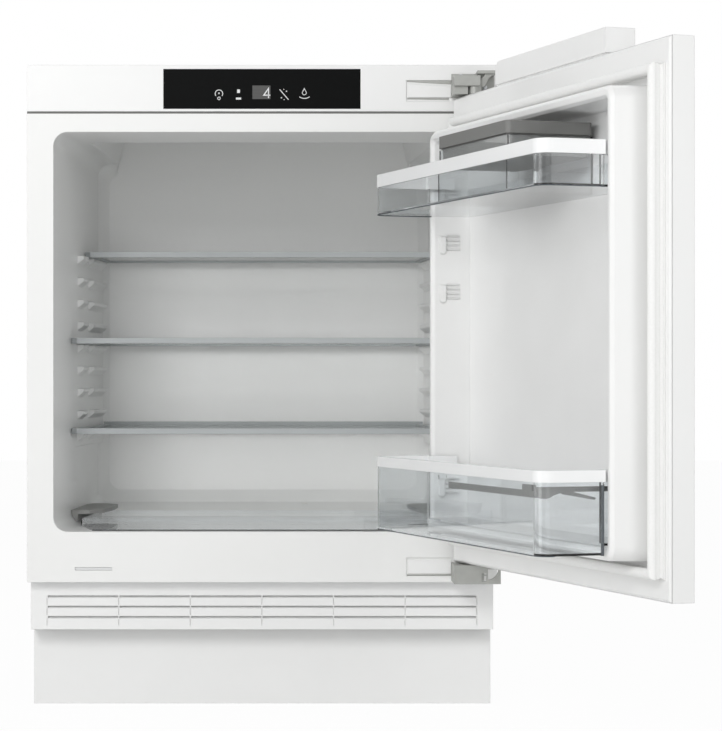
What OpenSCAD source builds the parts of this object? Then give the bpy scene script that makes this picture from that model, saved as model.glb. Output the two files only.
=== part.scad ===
// Built-under larder refrigerator with a hinged, rack-carrying door.
// Origin: on the floor, in the plane of the cabinet's front face, midway
// between the sides. +X is to the right, +Y to the rear, +Z up.

/* [Cabinet] */
// Width of the cabinet
cab_w = 596; // [580:1:610]
// Height from the floor to the cabinet's top
cab_h = 818; // [810:1:840]
// Depth of the insulated body behind its front face
cab_d = 495; // [485:1:520]
// Height of the ventilated base below the insulated body
base_h = 162; // [158:1:168]
// Thickness of the outer steel sheet
sheet_t = 1; // [0.8:0.1:1.2]
// Thickness of the front frame that the door closes on
frame_t = 2.5; // [2:0.1:3]
// Wall of the moulded inner liner
liner_t = 1.6; // [1.2:0.1:2]

/* [Cavity] */
// Insulated side wall at the opening
side_wall = 33.5; // [32:0.5:36]
// Frame height below the opening
sill_h = 64; // [60:1:68]
// Frame height between the opening and the fascia
head_h = 25; // [23:1:28]
// Corner radius of the opening
open_r = 18; // [14:1:22]
// Depth of the cavity
cavity_d = 430; // [420:1:440]
// How far each side wall leans inwards by the rear wall
side_draft = 27; // [22:1:30]
// How far the floor climbs by the rear wall, over the machine compartment
floor_rise = 19; // [12:1:24]
// Where the floor starts to climb
rise_y = 306; // [304:1:315]
// Where the raised part of the ceiling starts
pocket_y = 127; // [120:1:140]
// Height of the raised part of the ceiling
pocket_h = 35; // [28:1:40]

/* [Shelf supports] */
// Underside of the lowest shelf above the cavity's floor
first_level = 120.5; // [115:0.5:125]
// Step between support ribs
rib_pitch = 30; // [28:0.5:30]
// Free height over the highest rib, for tall items on the half shelf
top_room = 140; // [135:1:143]
// How far a rib stands inwards of its pad
rib_out = 8.5; // [7:0.5:10]
// Height of a rib at its root
rib_root = 12; // [10:0.5:14]
// Height of a rib at its tip
rib_tip = 4.5; // [3:0.5:6]
// Where the front ribs start
rib_front_y = 205; // [200:1:215]
// Length of a front rib
rib_front_len = 40; // [30:1:45]
// Where the rear ribs start
rib_rear_y = 290; // [280:1:295]
// Length of a rear rib
rib_rear_len = 110; // [90:1:115]
// Thickness of the wall pad at its rear end
pad_out = 7; // [6:0.5:8]

/* [Shelves] */
// Thickness of a glass plate
glass_t = 4; // [3.2:0.1:4.5]
// Height of a shelf's front trim
trim_h = 7.4; // [7:0.1:9]
// Front of the full shelves behind the cabinet's face
shelf_y = 138; // [134:1:145]
// Front of the half shelf behind the cabinet's face
half_shelf_y = 250; // [240:1:260]

/* [Floor tray] */
// Front of the tray's raised part
tray_y = 110; // [109:1:116]
// Depth of the tray's raised part
tray_d = 190; // [180:1:193]
// Height of the tray's rim over the cavity's floor
tray_h = 9.6; // [8.5:0.1:10]
// Wall of the clear tray
tray_wall = 1.6; // [1.4:0.1:2]

/* [Door] */
// Width of the door
door_w = 584; // [583:1:588]
// Gap between the door's top edge and the cabinet's top
door_top = 44; // [43:1:48]
// Gap between the door's underside and the base
door_lift = 27; // [26:1:28]
// Thickness of the door slab
door_t = 28; // [28:0.5:31]
// Distance that the gasket holds the slab off the cabinet
door_gap = 18; // [17:0.5:19]
// Chamfer round the slab's inner edge
door_bevel = 3; // [2.5:0.5:4]
// How far the rack frame stands off the door
dike_h = 50; // [45:1:52]
// Margin between the door's hinge-side edge and the rack frame
dike_side = 41; // [40:1:44]
// Margin between the door's free edge and the rack frame
free_side = 32; // [31:0.5:36]
// Margin between the rack frame and the cavity's floor and ceiling
dike_gap = 4; // [3:0.5:6]
// Width of the rack frame's crest
crest_w = 13; // [11:0.5:15]
// Hinge axis from the door's hinge-side edge
pivot_in = 31; // [30:0.5:32]
// Opening angle of the door
door_open = 108; // [0:1:112]
// Radius of the hinge pins
pin_r = 4; // [3:0.25:4.5]

/* [Door racks] */
// Reach of a rack off the door
rack_d = 126; // [122:1:127]
// How far a rack's ends stand in from the rack frame's outside
rack_in = 12; // [11:0.5:16]
// Wall of a clear rack
rack_wall = 2.4; // [2:0.1:3]
// Height of the upper rack's clear body
upper_rack_h = 33.3; // [30:0.1:36]
// Height of the lower rack's clear body
lower_rack_h = 76; // [70:1:85]
// Height of the lower rack's white rim
rim_h = 12.5; // [10:0.5:14]
// Height of the upper rack's white rim
upper_rim_h = 15.3; // [12:0.1:16]
// Underside of the upper rack below the door's top edge
upper_rack_drop = 154; // [150:1:158]
// Underside of the lower rack over the door's lower edge
lower_rack_z = 48; // [47:1:54]

/* [Storage box] */
// Length of the storage box
box_w = 195; // [180:1:200]
// Depth of the storage box
box_d = 101; // [95:1:104]
// Height of the storage box
box_h = 61.5; // [58:0.5:62]
// Height of the box's sliding lid
lid_h = 14; // [12:0.5:15]
// Where the box starts, from the door's hinge-side edge
box_s = 224; // [215:1:235]

/* [Controls] */
// Height of the top fascia
fascia_h = 59; // [57:1:60]
// Width of the dark control glass
panel_w = 250; // [240:1:260]
// Height of the dark control glass
panel_h = 50.6; // [48:0.2:51]
// Width of the display window
display_w = 22.8; // [20:0.2:26]
// Height of the display window
display_h = 17.2; // [15:0.2:20]

/* [Base] */
// Height of the grille, between the plinth and the body
grille_h = 62; // [58:1:64]
// How far the base stands in from the cabinet's sides
base_in = 3; // [2:0.5:8]
// How far the grille stands back
grille_y = 20; // [16:1:24]
// How far the plinth stands back
plinth_y = 60; // [56:1:64]
// Ventilation slots in the grille, one above the other
grille_rows = 3; // [2:1:3]
// Step from one grille slot to the next
slat_pitch = 13.2; // [12:0.1:13.5]
// Bays between the grille's partitions
grille_bays = 6; // [4:1:8]
// Radius of a levelling foot
foot_r = 19; // [16:0.5:21]
// Radius of the compressor's shell
comp_r = 72; // [66:1:76]
// Air between the evaporation tray on the compressor and the body over it
comp_air = 10.7; // [8:0.1:20]

/* [Hidden] */
$fn = 48;

// Small cut that lets one solid run past another's face
eps = 0.5;
// Clearance between pieces that seat on each other without sharing a face
seat = 0.3;

// Cabinet and cavity, worked out
half = cab_w / 2;
groove_h = 1;
fascia_z = cab_h - fascia_h;
open_half = half - side_wall;
open_z0 = base_h + sill_h;
open_z1 = fascia_z - groove_h - head_h;
draft_a = atan(side_draft / cavity_d);
ceiling_drop = 3;
pocket_top = open_z1 - ceiling_drop + pocket_h;
step_y = 300;
step_z = base_h + 38;
step_run = 34;
control_d = 96;
fascia_d = 28;
rear_return = 15;
flange_w = 12;
rear_soft = 14;
// Support levels up the wall, and the levels from one shelf to the next
rib_levels = 1 + floor((open_z1 - ceiling_drop - open_z0 - first_level - top_room) / rib_pitch);
shelf_step = floor((rib_levels - 1) / 2);

// Door, worked out
door_x1 = half;
door_x0 = door_x1 - door_w;
door_z0 = base_h + door_lift;
door_z1 = cab_h - door_top;
door_h = door_z1 - door_z0;
door_y1 = -door_gap;
door_y0 = door_y1 - door_t;
door_skin = 1;
pivot_x = door_x1 - pivot_in;
pivot_y = door_y1 - 17;
dike_half = (door_w - dike_side - free_side) / 2;
// Middle of the rack frame
door_mid = door_x1 - dike_side - dike_half;
dike_z0 = open_z0 + dike_gap - 1;
dike_z1 = open_z1 - dike_gap - 2;
dike_r = 15;
bay_r = 5;
dike_lean = 1.5;
crest_soft = 4;
seal_r = 5.5;
seal_gap = 0.6;
weld = 0.05;
seal_in = 6;

// Racks, worked out
upper_z = door_z1 - upper_rack_drop;
lower_z = door_z0 + lower_rack_z;
rack_back = 1.6;
rack_w = 2 * (dike_half - rack_in);
// Half width of the frame's bay at a depth off the door
function bay_at(d) = dike_half - crest_w - dike_lean * (1 - d / (dike_h + 2));
lug_out = 2.6;
lug_d = 32;
lug_w = 8;
// Step in the lower rack's floor that clears the frame's lower beam
rack_step = dike_z0 + crest_w + 2 * dike_lean + 1.5 - lower_z;
rack_half_in = bay_at(lug_d) - lug_out - 1.2;
rack_r = 16;
wall_y = door_y1 + rack_back;
rack_y1 = door_y1 + rack_d;
box_y0 = door_y1 + 8;
box_x1 = door_x1 - box_s;
box_x0 = box_x1 - box_w;
box_z0 = upper_z + rack_wall + seat;

// Base, worked out
base_half = half - base_in;
base_w = 2 * base_half;
base_gap = 0.5;
plinth_h = base_h - grille_h - base_gap;
cheek_t = 2;
plinth_lip = 5.6;
grille_t = 14;
cheek_y0 = grille_y + grille_t + seat;
cheek_y1 = cab_d - 11;
foot_h = 20;
foot_x = base_half - 36;
foot_y = [plinth_y + 24, cheek_y1 - 38];
deck_z = foot_h + sheet_t;
comp_x = 128;
comp_y = cab_d - 103;
comp_z = deck_z + 12;
thaw_w = 176;
thaw_d = 120;
thaw_h = 18;
thaw_r = 8;
comp_h = step_z - comp_air - thaw_h - seat - comp_z;
grommet_x = 62;
grommet_y = 52;
fan_x = -8;
fan_z = 92;
fan_r = 52;
fan_back = 9.5;
stub_r = 10;
stub_len = 14;
hub_cap = 5;
run_gap = 0.05;
coil_x0 = -250;
coil_x1 = -64;
coil_y1 = cab_d - 29;
coil_y0 = coil_y1 - 128;
fan_y = coil_y1 - 64;
coil_rows = 6;
coil_layers = 3;
coil_wires = 8;
coil_step = 36;
coil_r = 2.5;
coil_z = deck_z + 26;
drain_x = 60;
drain_y = cavity_d - 24;
drain_r = 7;
tube_wall = 1;
tray_z = comp_z + comp_h + seat;
guide_d = 215;
guide_y = tray_y + 40;
guide_z = 14;
guide_t = 5;
guide_leg = 9;
guide_low = 5;
// Half width of the floor tray at a depth, inside the guides' legs
function tray_half(y) = cavity_half(y) - guide_leg - 10;

// A rectangle with true round corners, centred on X, with its lower edge at y0
module round_rect(hw, y0, y1, r) {
  union() {
    translate([-hw + r, y0]) square([2 * (hw - r), y1 - y0]);
    translate([-hw, y0 + r]) square([2 * hw, y1 - y0 - 2 * r]);
    for (x = [-hw + r, hw - r], y = [y0 + r, y1 - r])
      translate([x, y]) circle(r);
  }
}

// Stands a drawing in X and Z up in the cabinet, from y0 back to y1
module upright(y0, y1) {
  translate([0, y1, 0]) rotate([90, 0, 0]) linear_extrude(y1 - y0) children();
}

// Sweeps a drawing in Y and Z from x0 to x1
module along_x(x0, x1) {
  translate([x0, 0, 0]) rotate([90, 0, 90]) linear_extrude(x1 - x0) children();
}

// A thin upright slice of a tapering form
module slice(y, hw, z0, z1, r) {
  upright(y - 0.01, y) round_rect(hw, z0, z1, r, $fn = 32);
}

// Swings what is drawn closed to the door's opening angle
module swung() {
  translate([pivot_x, pivot_y, 0]) rotate([0, 0, door_open])
    translate([-pivot_x, -pivot_y, 0]) children();
}

// Repeats what is drawn on the left on the right as well
module both_sides() {
  children();
  mirror([1, 0, 0]) children();
}

// Half width of the cavity at a depth
function cavity_half(y) = open_half - side_draft * y / cavity_d;
// Thickness of the rib pad at a depth
function pad_at(y) = pad_out * (y - pad_y0) / (pad_y1 - pad_y0);
pad_y0 = 180;
pad_y1 = cavity_d - rear_soft - 1;
pad_a = atan(pad_out / (pad_y1 - pad_y0));
// Underside of the cavity's floor at a depth behind the start of its climb
function floor_at(y) = open_z0 - liner_t
  + (floor_rise - 3) * (y - rise_y) / (cavity_d - rear_soft - rise_y);

// The cavity's drafted form, grown by g on every side but the front
module cavity_form(g, y_front) {
  y_rear = cavity_d - rear_soft;
  hull() {
    slice(y_front, cavity_half(y_front) + g, open_z0 - g, open_z1 + g, open_r + g);
    slice(rise_y, cavity_half(rise_y) + g, open_z0 - g, open_z1 - 2 + g, open_r + g);
    slice(y_rear + g, cavity_half(y_rear) + g, open_z0 + floor_rise - 3 - g,
      open_z1 - ceiling_drop + g, open_r + g);
    slice(cavity_d + g, cavity_half(cavity_d) - rear_soft + g,
      open_z0 + floor_rise + rear_soft - g, open_z1 - ceiling_drop - rear_soft + g, open_r);
  }
}

// Plan of the ceiling pocket at one height
module pocket_plan(inset, g) {
  polygon([
    [-cavity_half(pocket_y) + 26 + inset - g, pocket_y + inset / 2 - g],
    [cavity_half(pocket_y) - 26 - inset + g, pocket_y + inset / 2 - g],
    [cavity_half(cavity_d) - 26 - inset + g, cavity_d + g],
    [-cavity_half(cavity_d) + 26 + inset - g, cavity_d + g]
  ]);
}

module pocket_form(g) {
  hull() {
    translate([0, 0, open_z1 - ceiling_drop - rear_soft - 4]) linear_extrude(0.01) pocket_plan(-2, g);
    translate([0, 0, pocket_top + g - 0.01]) linear_extrude(0.01) pocket_plan(10, g);
  }
}

// Plan wedge that thickens the side wall where the ribs stand
module rib_pad() {
  lo = open_z0 + first_level - rib_root - 6;
  hi = open_z0 + first_level + (rib_levels - 1) * rib_pitch + 8;
  translate([0, 0, lo]) linear_extrude(hi - lo)
    polygon([[-0.8, pad_y0], [0, pad_y0], [pad_out, pad_y1], [-0.8, pad_y1]]);
}

// One support rib with a level top and a sloping underside
module rib(y0, len, out) {
  translate([0, y0 + len, 0]) rotate([90, 0, 0]) linear_extrude(len)
    polygon([[-0.8, 0], [out, 0], [out, -rib_tip], [-0.8, -rib_root]]);
}

// Every rib of the left wall, along its draft
module wall_ribs() {
  translate([-open_half, 0, 0]) rotate([0, 0, -draft_a]) {
    rib_pad();
    translate([0, pad_y0, 0]) rotate([0, 0, -pad_a]) translate([0, -pad_y0, 0])
      for (k = [0:rib_levels - 1])
        translate([0, 0, open_z0 + first_level + k * rib_pitch]) {
          rib(rib_front_y, rib_front_len, rib_out);
          rib(rib_rear_y, rib_rear_len, rib_out);
        }
  }
}

// Left side sheet with its rear return
module side_sheet() {
  difference() {
    union() {
      translate([-half, frame_t, base_h])
        cube([sheet_t, cab_d - frame_t, cab_h - sheet_t - base_h]);
      translate([-half, cab_d - sheet_t, step_z])
        cube([rear_return, sheet_t, cab_h - sheet_t - step_z]);
    }
    // Upper front corner left free for the fascia
    translate([-half - eps, -eps, fascia_z - groove_h])
      cube([sheet_t + 2 * eps, fascia_d + eps, cab_h]);
  }
}

module left_side_panel() {
  color("white") side_sheet();
}

module right_side_panel() {
  color("white") mirror([1, 0, 0]) side_sheet();
}

module top_cover() {
  color("gainsboro") difference() {
    translate([-half, fascia_d, cab_h - sheet_t]) cube([cab_w, cab_d - fascia_d, sheet_t]);
    // Shallow stiffening beads
    for (y = [120:90:400])
      translate([-half + 60, y, cab_h - sheet_t / 3]) cube([cab_w - 120, 12, sheet_t]);
  }
}

// Side view of the stepped underside, as a line of points
function step_line(lift, back) = [
  [frame_t, base_h + lift],
  [step_y - step_run - back, base_h + lift],
  [step_y - back, step_z + lift],
  [cab_d - sheet_t, step_z + lift]
];

module bottom_pan() {
  color("silver") difference() {
    along_x(-half + sheet_t, half - sheet_t)
      polygon(concat(step_line(0, 0), [for (k = [3:-1:0]) step_line(sheet_t, 0.5)[k]]));
    translate([drain_x, drain_y, base_h]) cylinder(r = drain_r + seat, h = step_z);
  }
}

module rear_panel() {
  color("silver") difference() {
    translate([-half + rear_return, cab_d - sheet_t, step_z + sheet_t])
      cube([cab_w - 2 * rear_return, sheet_t, cab_h - 2 * sheet_t - step_z]);
    // Filling holes for the foam
    for (x = [-150, 150])
      translate([x, cab_d + eps, cab_h - 178]) rotate([90, 0, 0]) cylinder(r = 9, h = 4);
  }
}

module foam_insulation() {
  color("khaki") difference() {
    along_x(-half + sheet_t, half - sheet_t)
      polygon(concat(step_line(sheet_t, 0.5),
        [[cab_d - sheet_t, cab_h - sheet_t], [frame_t, cab_h - sheet_t]]));
    cavity_form(liner_t, frame_t + 0.01);
    pocket_form(liner_t);
    // Room behind the fascia for the controls
    translate([-half, frame_t - eps, fascia_z - groove_h])
      cube([cab_w, control_d - frame_t + eps, fascia_h + 2]);
    // Rebate for the liner's flange
    upright(frame_t - eps, frame_t + liner_t)
      round_rect(open_half + flange_w, open_z0 - flange_w, open_z1 + flange_w, open_r + flange_w);
    evaporator_space();
    translate([drain_x, drain_y, base_h]) cylinder(r = drain_r + seat, h = floor_at(drain_y) - base_h);
  }
}

module front_frame() {
  color("white") difference() {
    translate([-half, 0, base_h]) cube([cab_w, frame_t, fascia_z - groove_h - base_h]);
    upright(-eps, frame_t + eps) round_rect(open_half, open_z0, open_z1, open_r);
    // Recess for the lower hinge cover
    translate([hinge_cover_x - 2, -eps, lower_cover_z - lower_slot])
      cube([hinge_cover_w, cover_t + eps, hinge_cover_h + 2 * lower_slot]);
    // Recess for the service slot cover
    translate([-slot_x - slot_w, -eps, slot_z]) cube([slot_w, cover_t + eps, slot_h]);
    for (x = hinge_screw_x)
      translate([x, -eps, bottom_bracket_z + 12]) rotate([-90, 0, 0]) cylinder(r = 2.6, h = 8);
  }
}

module inner_liner() {
  color("whitesmoke") difference() {
    union() {
      difference() {
        union() {
          cavity_form(liner_t, frame_t + 0.01);
          pocket_form(liner_t);
          upright(frame_t, frame_t + liner_t) round_rect(open_half + flange_w,
            open_z0 - flange_w, open_z1 + flange_w, open_r + flange_w);
        }
        cavity_form(0, -1);
        pocket_form(0);
      }
      both_sides() wall_ribs();
      drain_funnel();
    }
    translate([drain_x, drain_y, open_z0 - 20]) cylinder(r = drain_r - 2.4, h = 60);
  }
}

// Boss on the liner's foam side that the drain tube pushes onto
module drain_funnel() {
  z = floor_at(drain_y);
  translate([drain_x, drain_y, z - 12]) cylinder(r = drain_r - tube_wall, h = 12.8);
}

evap_y = cavity_d + liner_t + seat;
evap_z0 = open_z0 + 94;
evap_z1 = open_z1 - 43;
evap_half = 205;
evap_t = 1.5;
channel_t = 3;

module evaporator_space() {
  translate([-evap_half - 1, cavity_d, evap_z0 - 1])
    cube([2 * evap_half + 2, evap_y + evap_t + channel_t + 1 - cavity_d, evap_z1 - evap_z0 + 2]);
}

// Aluminium plate with its meandering channel, on the liner's foam side
module evaporator_plate() {
  rows = 8;
  run = (evap_z1 - evap_z0 - 40) / (rows - 1);
  color("lightgray") union() {
    upright(evap_y, evap_y + evap_t) round_rect(evap_half, evap_z0, evap_z1, 10);
    for (k = [0:rows - 1])
      upright(evap_y + evap_t, evap_y + evap_t + channel_t)
        translate([-evap_half + 24, evap_z0 + 16 + k * run]) square([2 * evap_half - 48, 8]);
    for (k = [0:rows - 2])
      upright(evap_y + evap_t, evap_y + evap_t + channel_t)
        translate([k % 2 == 0 ? evap_half - 32 : -evap_half + 24, evap_z0 + 16 + k * run])
          square([8, run + 8]);
  }
}

panel_z = fascia_z + 3.2;
glass_sheet = 2;

module fascia() {
  wall = 3;
  color("white") difference() {
    translate([-half, 0, fascia_z]) cube([cab_w, fascia_d, fascia_h]);
    // Hollow behind the front wall, open to the rear
    translate([-half + wall, wall + 1, fascia_z + wall])
      cube([cab_w - 2 * wall, fascia_d, fascia_h - 2 * wall]);
    // Seat of the control glass and its window
    translate([-panel_w / 2, -eps, panel_z]) cube([panel_w, glass_sheet + eps, panel_h]);
    translate([-panel_w / 2 + 8, -eps, panel_z + 6]) cube([panel_w - 16, 10, panel_h - 12]);
    // Slot over and under the upper hinge cover
    translate([hinge_cover_x - 2, -eps, upper_cover_z - upper_slot])
      cube([hinge_cover_w, cover_t + eps, hinge_cover_h + 2 * upper_slot]);
    for (p = top_screws)
      translate([p[0], -eps, top_bracket_z + p[1]]) rotate([-90, 0, 0]) cylinder(r = 2.6, h = 8);
  }
}

module control_glass() {
  color([0.1, 0.1, 0.1]) difference() {
    translate([-panel_w / 2, 0, panel_z]) cube([panel_w, glass_sheet, panel_h]);
    translate([-display_w / 2 - 0.7, -eps, panel_z + 12.4]) cube([display_w, 0.6 + eps, display_h]);
  }
}

module display_window() {
  color("gray") translate([-display_w / 2 - 0.7, -0.1, panel_z + 12.4])
    cube([display_w, 0.7, display_h]);
}

module control_board() {
  y = glass_sheet + 4;
  z = panel_z + 9;
  h = panel_h - 18;
  color("darkgreen") union() {
    translate([-panel_w / 2 + 14, y, z]) cube([panel_w - 28, 1.6, h]);
    // Display and touch domes pressed against the glass
    translate([-display_w / 2, glass_sheet, z + 4]) cube([display_w, 4, h - 8]);
    for (x = [-68, -42, 42, 68])
      translate([x, glass_sheet, z + h / 2]) rotate([-90, 0, 0]) cylinder(r = 6, h = 4);
    // Power transformer, capacitor and terminal blocks
    translate([60, y + 1.6, z + 3]) cube([28, 14, 24]);
    translate([20, y + 1.6, z + 12]) rotate([-90, 0, 0]) cylinder(r = 6, h = 13);
    for (x = [-100, -78]) translate([x, y + 1.6, z + 4]) cube([16, 9, 10]);
  }
}

lamp_w = 110;
lamp_d = 26;

// Clear cover of the ceiling lamp, in the raised part of the ceiling
module lamp_cover() {
  color("aliceblue") difference() {
    translate([-lamp_w / 2, pocket_y + 40, pocket_top - 7 - seat / 3])
      linear_extrude(7) union() {
        translate([lamp_d / 2, 0]) square([lamp_w - lamp_d, lamp_d]);
        for (x = [lamp_d / 2, lamp_w - lamp_d / 2]) translate([x, lamp_d / 2]) circle(lamp_d / 2);
      }
    translate([-lamp_w / 2 + 12, pocket_y + 44, pocket_top - 5]) cube([lamp_w - 24, lamp_d - 8, 8]);
  }
}

// Hinge hardware places
hinge_cover_w = 57;
hinge_cover_h = 17;
hinge_cover_x = pivot_x - 27 - hinge_cover_w + 2;
cover_t = 1.5;
upper_slot = 4.8;
lower_slot = 3;
upper_cover_z = door_z1 + 2.6;
lower_cover_z = door_z0 - 16;
top_bracket_z = door_z1 + 2;
bracket_top = 30;
bottom_bracket_h = 23.5;
bottom_bracket_z = door_z0 - 1.5 - bottom_bracket_h;
hinge_screw_x = [pivot_x - 15, pivot_x + 7];
// Screws of the upper bracket, each by its place across and over the bracket's underside
top_screws = [[pivot_x - 15, 26.6], [pivot_x + 15, 13]];
spring_z = 10;
spring_h = 13;
slot_w = 47;
slot_h = 4;
slot_x = 190;
slot_z = base_h + 15;

// White strips that close the hinge plates' slots, beside the brackets
module hinge_covers() {
  x1 = hinge_cover_x + hinge_cover_w - 2.3;
  color("white") union() {
    upright(0, cover_t) polygon([
      [hinge_cover_x, upper_cover_z], [x1, upper_cover_z],
      [x1, upper_cover_z + hinge_cover_h - 2.5], [hinge_cover_x, upper_cover_z + hinge_cover_h]
    ]);
    translate([hinge_cover_x, 0, lower_cover_z])
      cube([x1 - hinge_cover_x, cover_t, hinge_cover_h]);
  }
}

module service_slot() {
  color("white") translate([-slot_x - slot_w + 0.4, 0.5, slot_z + 0.4])
    cube([slot_w - 0.8, cover_t - 0.5, slot_h - 0.8]);
}

module top_hinge_bracket() {
  z0 = top_bracket_z;
  z1 = z0 + bracket_top;
  color("darkgray") difference() {
    union() {
      // Plate screwed to the body through the fascia
      translate([pivot_x - 27, -4, z0]) cube([54, 4, bracket_top]);
      // Box that houses the closing spring, and its sleeve round the pin
      translate([pivot_x - 27, pivot_y - 11, z0 + spring_z]) cube([33, -pivot_y + 7, spring_h]);
      translate([pivot_x, pivot_y, z0]) cylinder(r = 8, h = spring_z + eps);
      // Lower web
      translate([pivot_x - 27, pivot_y - 6, z0]) cube([18, -pivot_y + 2, spring_z + eps]);
      // Upper arm and the curved link that joins it to the box
      translate([pivot_x + 3, pivot_y - 4, z1 - 4]) cube([23, -pivot_y, 4]);
      translate([pivot_x, pivot_y + 4, z0]) upright(-5, 0) polygon([
        [4, 9], [12, 10], [17, 20], [21, 24], [26, 25], [26, 29], [14, 29], [12, 24], [4, 14]
      ]);
    }
    translate([pivot_x, pivot_y, z0 - 1]) cylinder(r = pin_r, h = spring_z + spring_h + 1.2);
    for (p = top_screws)
      translate([p[0], -5, z0 + p[1]]) rotate([-90, 0, 0]) cylinder(r = 2.6, h = 6);
  }
}

module bottom_hinge_bracket() {
  z0 = bottom_bracket_z;
  h = bottom_bracket_h;
  reach = -pivot_y + 15;
  color("darkgray") difference() {
    union() {
      translate([pivot_x - 27, -4, z0]) cube([41, 4, h]);
      translate([pivot_x - 27, -reach, z0 + h - 5]) cube([31, reach, 5]);
      // Eye round the pin, tied back to the wall plate
      translate([pivot_x, pivot_y, z0 + h - 5]) cylinder(r = 15, h = 5);
      translate([pivot_x - 15, pivot_y, z0 + h - 5]) cube([29, -pivot_y - 4, 5]);
      // Solid cheek under the arm
      translate([pivot_x - 27, -reach, z0]) cube([31, 5, h]);
      translate([pivot_x - 27, -reach, z0]) cube([5, reach, h]);
      // Open side frame with its quarter-round window
      translate([pivot_x, -reach, z0]) cube([31, 5, h]);
    }
    translate([pivot_x, pivot_y, z0 - 1]) cylinder(r = pin_r, h = h + 2);
    translate([pivot_x + 7.5, -reach - 1, z0 + 3.2]) cube([6, 7, 7]);
    translate([pivot_x + 7.5, -reach - 1, z0 + 11.4]) cube([6, 7, 2.5]);
    intersection() {
      translate([pivot_x + 15, -reach - 1, z0 + h - 5]) rotate([-90, 0, 0]) cylinder(r = 13, h = 7);
      translate([pivot_x + 15, -reach - 1, z0 + h - 18.5]) cube([14, 7, 13.5]);
    }
    for (x = hinge_screw_x)
      translate([x, -5, z0 + 12]) rotate([-90, 0, 0]) cylinder(r = 2.6, h = 6);
  }
}

pin_in = 18;

module hinge_pins() {
  color("silver") {
    translate([pivot_x, pivot_y, door_z1 - pin_in]) cylinder(r = pin_r, h = pin_in + 2 + spring_z + spring_h);
    translate([pivot_x, pivot_y, bottom_bracket_z])
      cylinder(r = pin_r, h = door_z0 + pin_in - bottom_bracket_z);
  }
}

// Left guide, drawn along the wall: x runs off the wall, y to the rear
module tray_guide() {
  y1 = tray_y + guide_d;
  back = 20;
  difference() {
    union() {
      translate([0, 0, open_z0 + guide_z]) linear_extrude(guide_t) polygon([
        [seat, guide_y], [10, guide_y], [24, guide_y + 4], [40, guide_y + 30], [44, guide_y + 80],
        [45, guide_y + 110], [43, y1 - back], [24, y1], [6, y1], [seat, y1 - back]
      ]);
      translate([seat, guide_y, open_z0 + guide_low])
        cube([guide_leg, y1 - back - guide_y, guide_z - guide_low + 1]);
    }
    // Rounded to the cavity's lower corner
    translate([0, 0, open_z0]) difference() {
      translate([-eps, 0, -eps]) cube([open_r + eps, y1 + 1, open_r + eps]);
      translate([open_r, -1, open_r]) rotate([-90, 0, 0]) cylinder(r = open_r - 2 * seat, h = y1 + 4);
    }
  }
}

// Dark guides along both side walls that hold the floor tray down
module tray_guides() {
  color("dimgray") both_sides()
    translate([-open_half, 0, 0]) rotate([0, 0, -draft_a]) tray_guide();
}

module base_frame() {
  color("silver") difference() {
    union() {
      both_sides() {
        translate([-base_half, cheek_y0, foot_h])
          cube([cheek_t, cheek_y1 - cheek_y0, base_h - foot_h]);
        // Foot rail folded in along the lower edge
        translate([-base_half, cheek_y0, foot_h]) cube([62, cheek_y1 - cheek_y0, sheet_t]);
        // Flange that is screwed under the body
        translate([-base_half, cheek_y0, base_h - sheet_t])
          cube([24, step_y - step_run - cheek_y0 - 2, sheet_t]);
        // Rear gusset up to the raised compartment roof
        translate([-base_half, step_y + 10, base_h - 1])
          cube([cheek_t, cheek_y1 - step_y - 10, step_z - base_h + 1]);
      }
      // Compressor deck
      translate([-base_half + 40, step_y, foot_h]) cube([base_w - 80, cheek_y1 - step_y, sheet_t]);
      translate([-base_half + cheek_t, cheek_y1 - 2, foot_h]) cube([base_w - 2 * cheek_t, 2, 16]);
      // Front cross rail, which the plinth's clips hold
      translate([-base_half + cheek_t, plinth_y + plinth_lip + 0.4, foot_h])
        cube([base_w - 2 * cheek_t, 2, 50]);
    }
    for (x = [-foot_x, foot_x], y = foot_y)
      translate([x, y, foot_h - 1]) cylinder(r = 5, h = 4);
    // Air openings in the cheeks
    for (k = [0:4])
      translate([-base_half - 1, 120 + k * 26, 60]) cube([base_w + 2, 12, 60]);
    for (x = [-grommet_x, grommet_x], y = [-grommet_y, grommet_y])
      translate([comp_x + x, comp_y + y, foot_h - 1]) cylinder(r = 3, h = 4);
    // Lower front corners that the plinth's ends cover
    translate([-base_half - 1, 0, 0]) cube([base_w + 2, plinth_y + plinth_lip + seat, plinth_h + seat]);
    // Gap in the rear rail for the appliance inlet
    translate([inlet_x - seat, cheek_y1 - 3, deck_z]) cube([inlet_w + 2 * seat, 4, 40]);
  }
}

grille_z0 = plinth_h + base_gap;
grille_z1 = base_h - seat;
slat_gap = 2.6;
slat_low = 13.7;
bay_x = base_half - 20.8;

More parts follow.
